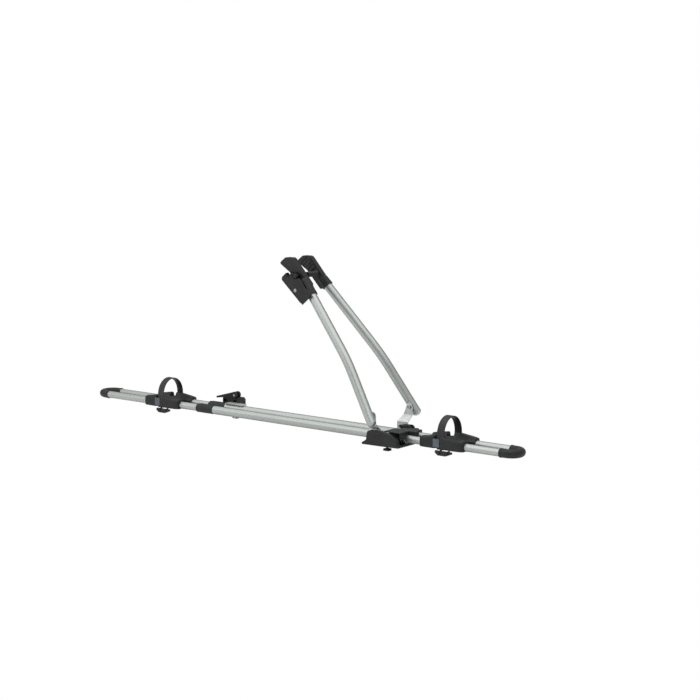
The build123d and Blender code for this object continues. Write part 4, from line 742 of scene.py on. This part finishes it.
lock_face("cover_lock_barrel", "cover_lock", "black_moulding", -0.3 * MM)
lock_face("frame_lock_barrel", "frame_lock", "zinc_steel", 4.8 * MM)


# Frame holder: places along (p) and across (q) the arms' upper run, from the spindle

spindle_low, spindle_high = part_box("spindle")
SPINDLE_X = (spindle_low.x + spindle_high.x) / 2
SPINDLE_Z = (spindle_low.z + spindle_high.z) / 2
RUN = hypot(UPPER_LEAN, 1)
ALONG_X, ALONG_Z = -UPPER_LEAN / RUN, 1 / RUN
PIVOT_Y, PIVOT_Z, INWARD = 96.6 * MM, 84.5 * MM, 0.17991
JAW_FACE, JAW_DEPTH = 28 * MM, 18 * MM
JAW_OUTSIDE = JAW_FACE + JAW_DEPTH
FIELD_DEPTH, FIELD_RIM, FIELD_SUNK = 2.2 * MM, 1.4 * MM, 0.5 * MM
SOCKET_BORE, COLLAR_RADIUS, COLLAR_OVERHANG = 12.35 * MM, 15.3 * MM, 0.4 * MM
LEVER_FACE = JAW_OUTSIDE + 14 * MM
LEVER_PLATE, LEVER_PROUD, LEVER_FLARE = 3.8 * MM, 1.2 * MM, 4.8 * MM
FLARE_START, FLARE_LENGTH = 8 * MM, 58 * MM
PLATE_RIM, PLATE_CHAMFER = 1.6 * MM, 0.6 * MM
NOSE_GAP, NOSE_TUCK, NOSE_CHAMFER = 3 * MM, 5 * MM, 0.8 * MM
RIDGE_DEPTH, RIDGE_RIM, RIDGE_SUNK = 1.4 * MM, 1.1 * MM, 0.4 * MM


def head_place(side, line):
    """Outlines drawn in p and q on the plane Y = side * line, heights going outward."""
    def place(p, q, height):
        x = SPINDLE_X + ALONG_X * p + ALONG_Z * q
        z = SPINDLE_Z + ALONG_Z * p - ALONG_X * q
        return np.stack((x, side * (line + height), z), 1)
    return place


def arm_axis(p, side):
    """Place on an arm's axis at p."""
    z = SPINDLE_Z + ALONG_Z * p
    return np.array((SPINDLE_X + ALONG_X * p, side * (PIVOT_Y - INWARD * (z - PIVOT_Z)), z))


def jaw_field(name, side, body):
    """The raised field inside the rim of a jaw's outer face."""
    outline = rounded_outline(millimetres(
        (-22, 9, 4), (46, 9, 9), (60, -6, 6), (61.5, -26, 4), (24, -15.5, 16), (8, -10, 5), (-4, 9, 3),
    ))
    place = head_place(side, JAW_OUTSIDE - FIELD_SUNK)
    return dress(slab(name, outline, round_edge(FIELD_DEPTH, FIELD_RIM), place, body), "black_moulding")


def socket_collar(name, side, mouth, body):
    """A turned collar round a jaw's socket: a bead at the mouth and two shallow grooves. Each row
    of its profile is a distance from the mouth and a drop from the collar's radius."""
    drops = millimetres(
        (0, 1.2), (0.4, 0.4), (1.2, 0), (3.4, 0), (4.2, 0.8), (5.2, 0.8), (6, 0), (8.2, 0),
        (9, 0.8), (9.6, 1.6),
    )
    profile = [(along, COLLAR_RADIUS - drop) for along, drop in drops]
    profile = [(profile[0][0], SOCKET_BORE)] + profile + [(profile[-1][0], SOCKET_BORE)]
    start = arm_axis(mouth - COLLAR_OVERHANG, side)
    direction = arm_axis(0, side) - arm_axis(mouth, side)
    return dress(lathe(name, start, direction, profile, body), "black_moulding")


for side_name, side, mouth in (("near", NEAR, -68 * MM), ("far", FAR, -44 * MM)):
    body = f"{side_name}_arm_body"
    jaw_field(f"{side_name}_jaw_field", side, body)
    socket_collar(f"{side_name}_socket_collar", side, mouth, body)


def flared_place(p, q, height):
    """The lever's face: it rises outward by a smooth step toward the tail, over the jaw's socket."""
    share = np.clip((-p - FLARE_START) / FLARE_LENGTH, 0, 1)
    rise = LEVER_FLARE * share * share * (3 - 2 * share)
    return head_place(NEAR, LEVER_FACE - LEVER_PLATE + LEVER_PROUD)(p, q, height + rise)


def ridge_place(p, q, height):
    """The same face, for what stands on the plate."""
    return flared_place(p, q, height + LEVER_PLATE - RIDGE_SUNK)


def lever_blade(name):
    """The lever's wide plate over the jaw, with a notch for the spindle's head and a flared tail."""
    outline = rounded_outline(millimetres(
        (24, -39, 6), (26.5, -22.5, 3), (11.5, -21.8, 2), (8, -10.5, 3), (-4, -9.5, 4),
        (-11, 4.5, 3), (-21, 7.5, 8), (-47, 6.5, 12), (-60, 12.5, 8), (-71, 16.5, 2.5),
        (-74, -6, 14), (-73.5, -31, 2), (-60, -22.5, 9), (-45, -21.5, 8), (-37, -27, 8),
    ), 9)
    levels = [(PLATE_CHAMFER, 0), (0, PLATE_CHAMFER)] + round_edge(LEVER_PLATE, PLATE_RIM)[1:]
    return dress(slab(name, outline, levels, flared_place, "frame_lever_body"), "black_moulding")


def lever_nose(name):
    """The thick end under the plate, ahead of the hinge pin."""
    outline = rounded_outline(millimetres(
        (23, -38, 5), (25.4, -23.5, 2.5), (10.5, -22.8, 2), (-8, -22.8, 2), (-8, -31.5, 2),
    ), 5)
    levels = [(NOSE_CHAMFER, 0), (0, NOSE_CHAMFER), (0, LEVER_FACE - JAW_OUTSIDE - NOSE_TUCK)]
    place = head_place(NEAR, JAW_OUTSIDE + NOSE_GAP)
    return dress(slab(name, outline, levels, place, "frame_lever_body"), "black_moulding")


def lever_ridge(name):
    """The long raised field on the plate, with a soft crown."""
    outline = rounded_outline(millimetres(
        (19, -34.5, 4), (20, -27, 3), (2, -18, 8), (-26, -2, 8), (-52, -4, 5), (-50, -12, 4), (-24, -17, 8),
    ), 7)
    levels = round_edge(RIDGE_DEPTH, RIDGE_RIM)
    return dress(slab(name, outline, levels, ridge_place, "frame_lever_body"), "black_moulding")


lever_blade("frame_lever_blade")
lever_nose("frame_lever_nose")
lever_ridge("frame_lever_ridge")


def sleeve_on_spindle(name):
    """The dark sleeve between the jaws, turned round the spindle, with its flange at the far jaw."""
    sleeve_low, sleeve_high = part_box("spindle_sleeve")
    length = sleeve_high.y - sleeve_low.y
    bore, tube, flange = 4.1 * MM, 7.4 * MM, 9.9 * MM
    tube_chamfer, flange_chamfer, flange_depth = 0.5 * MM, 0.4 * MM, 2 * MM
    shoulder = length - flange_depth
    profile = [
        (0, bore), (0, tube - tube_chamfer), (tube_chamfer, tube), (shoulder, tube),
        (shoulder, flange - flange_chamfer), (shoulder + flange_chamfer, flange),
        (length, flange), (length, bore),
    ]
    start = (SPINDLE_X, sleeve_low.y, SPINDLE_Z)
    return dress(lathe(name, start, (0, 1, 0), profile, "far_arm_body"), "black_steel")


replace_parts(sleeve_on_spindle("turned_sleeve"), "spindle_sleeve")
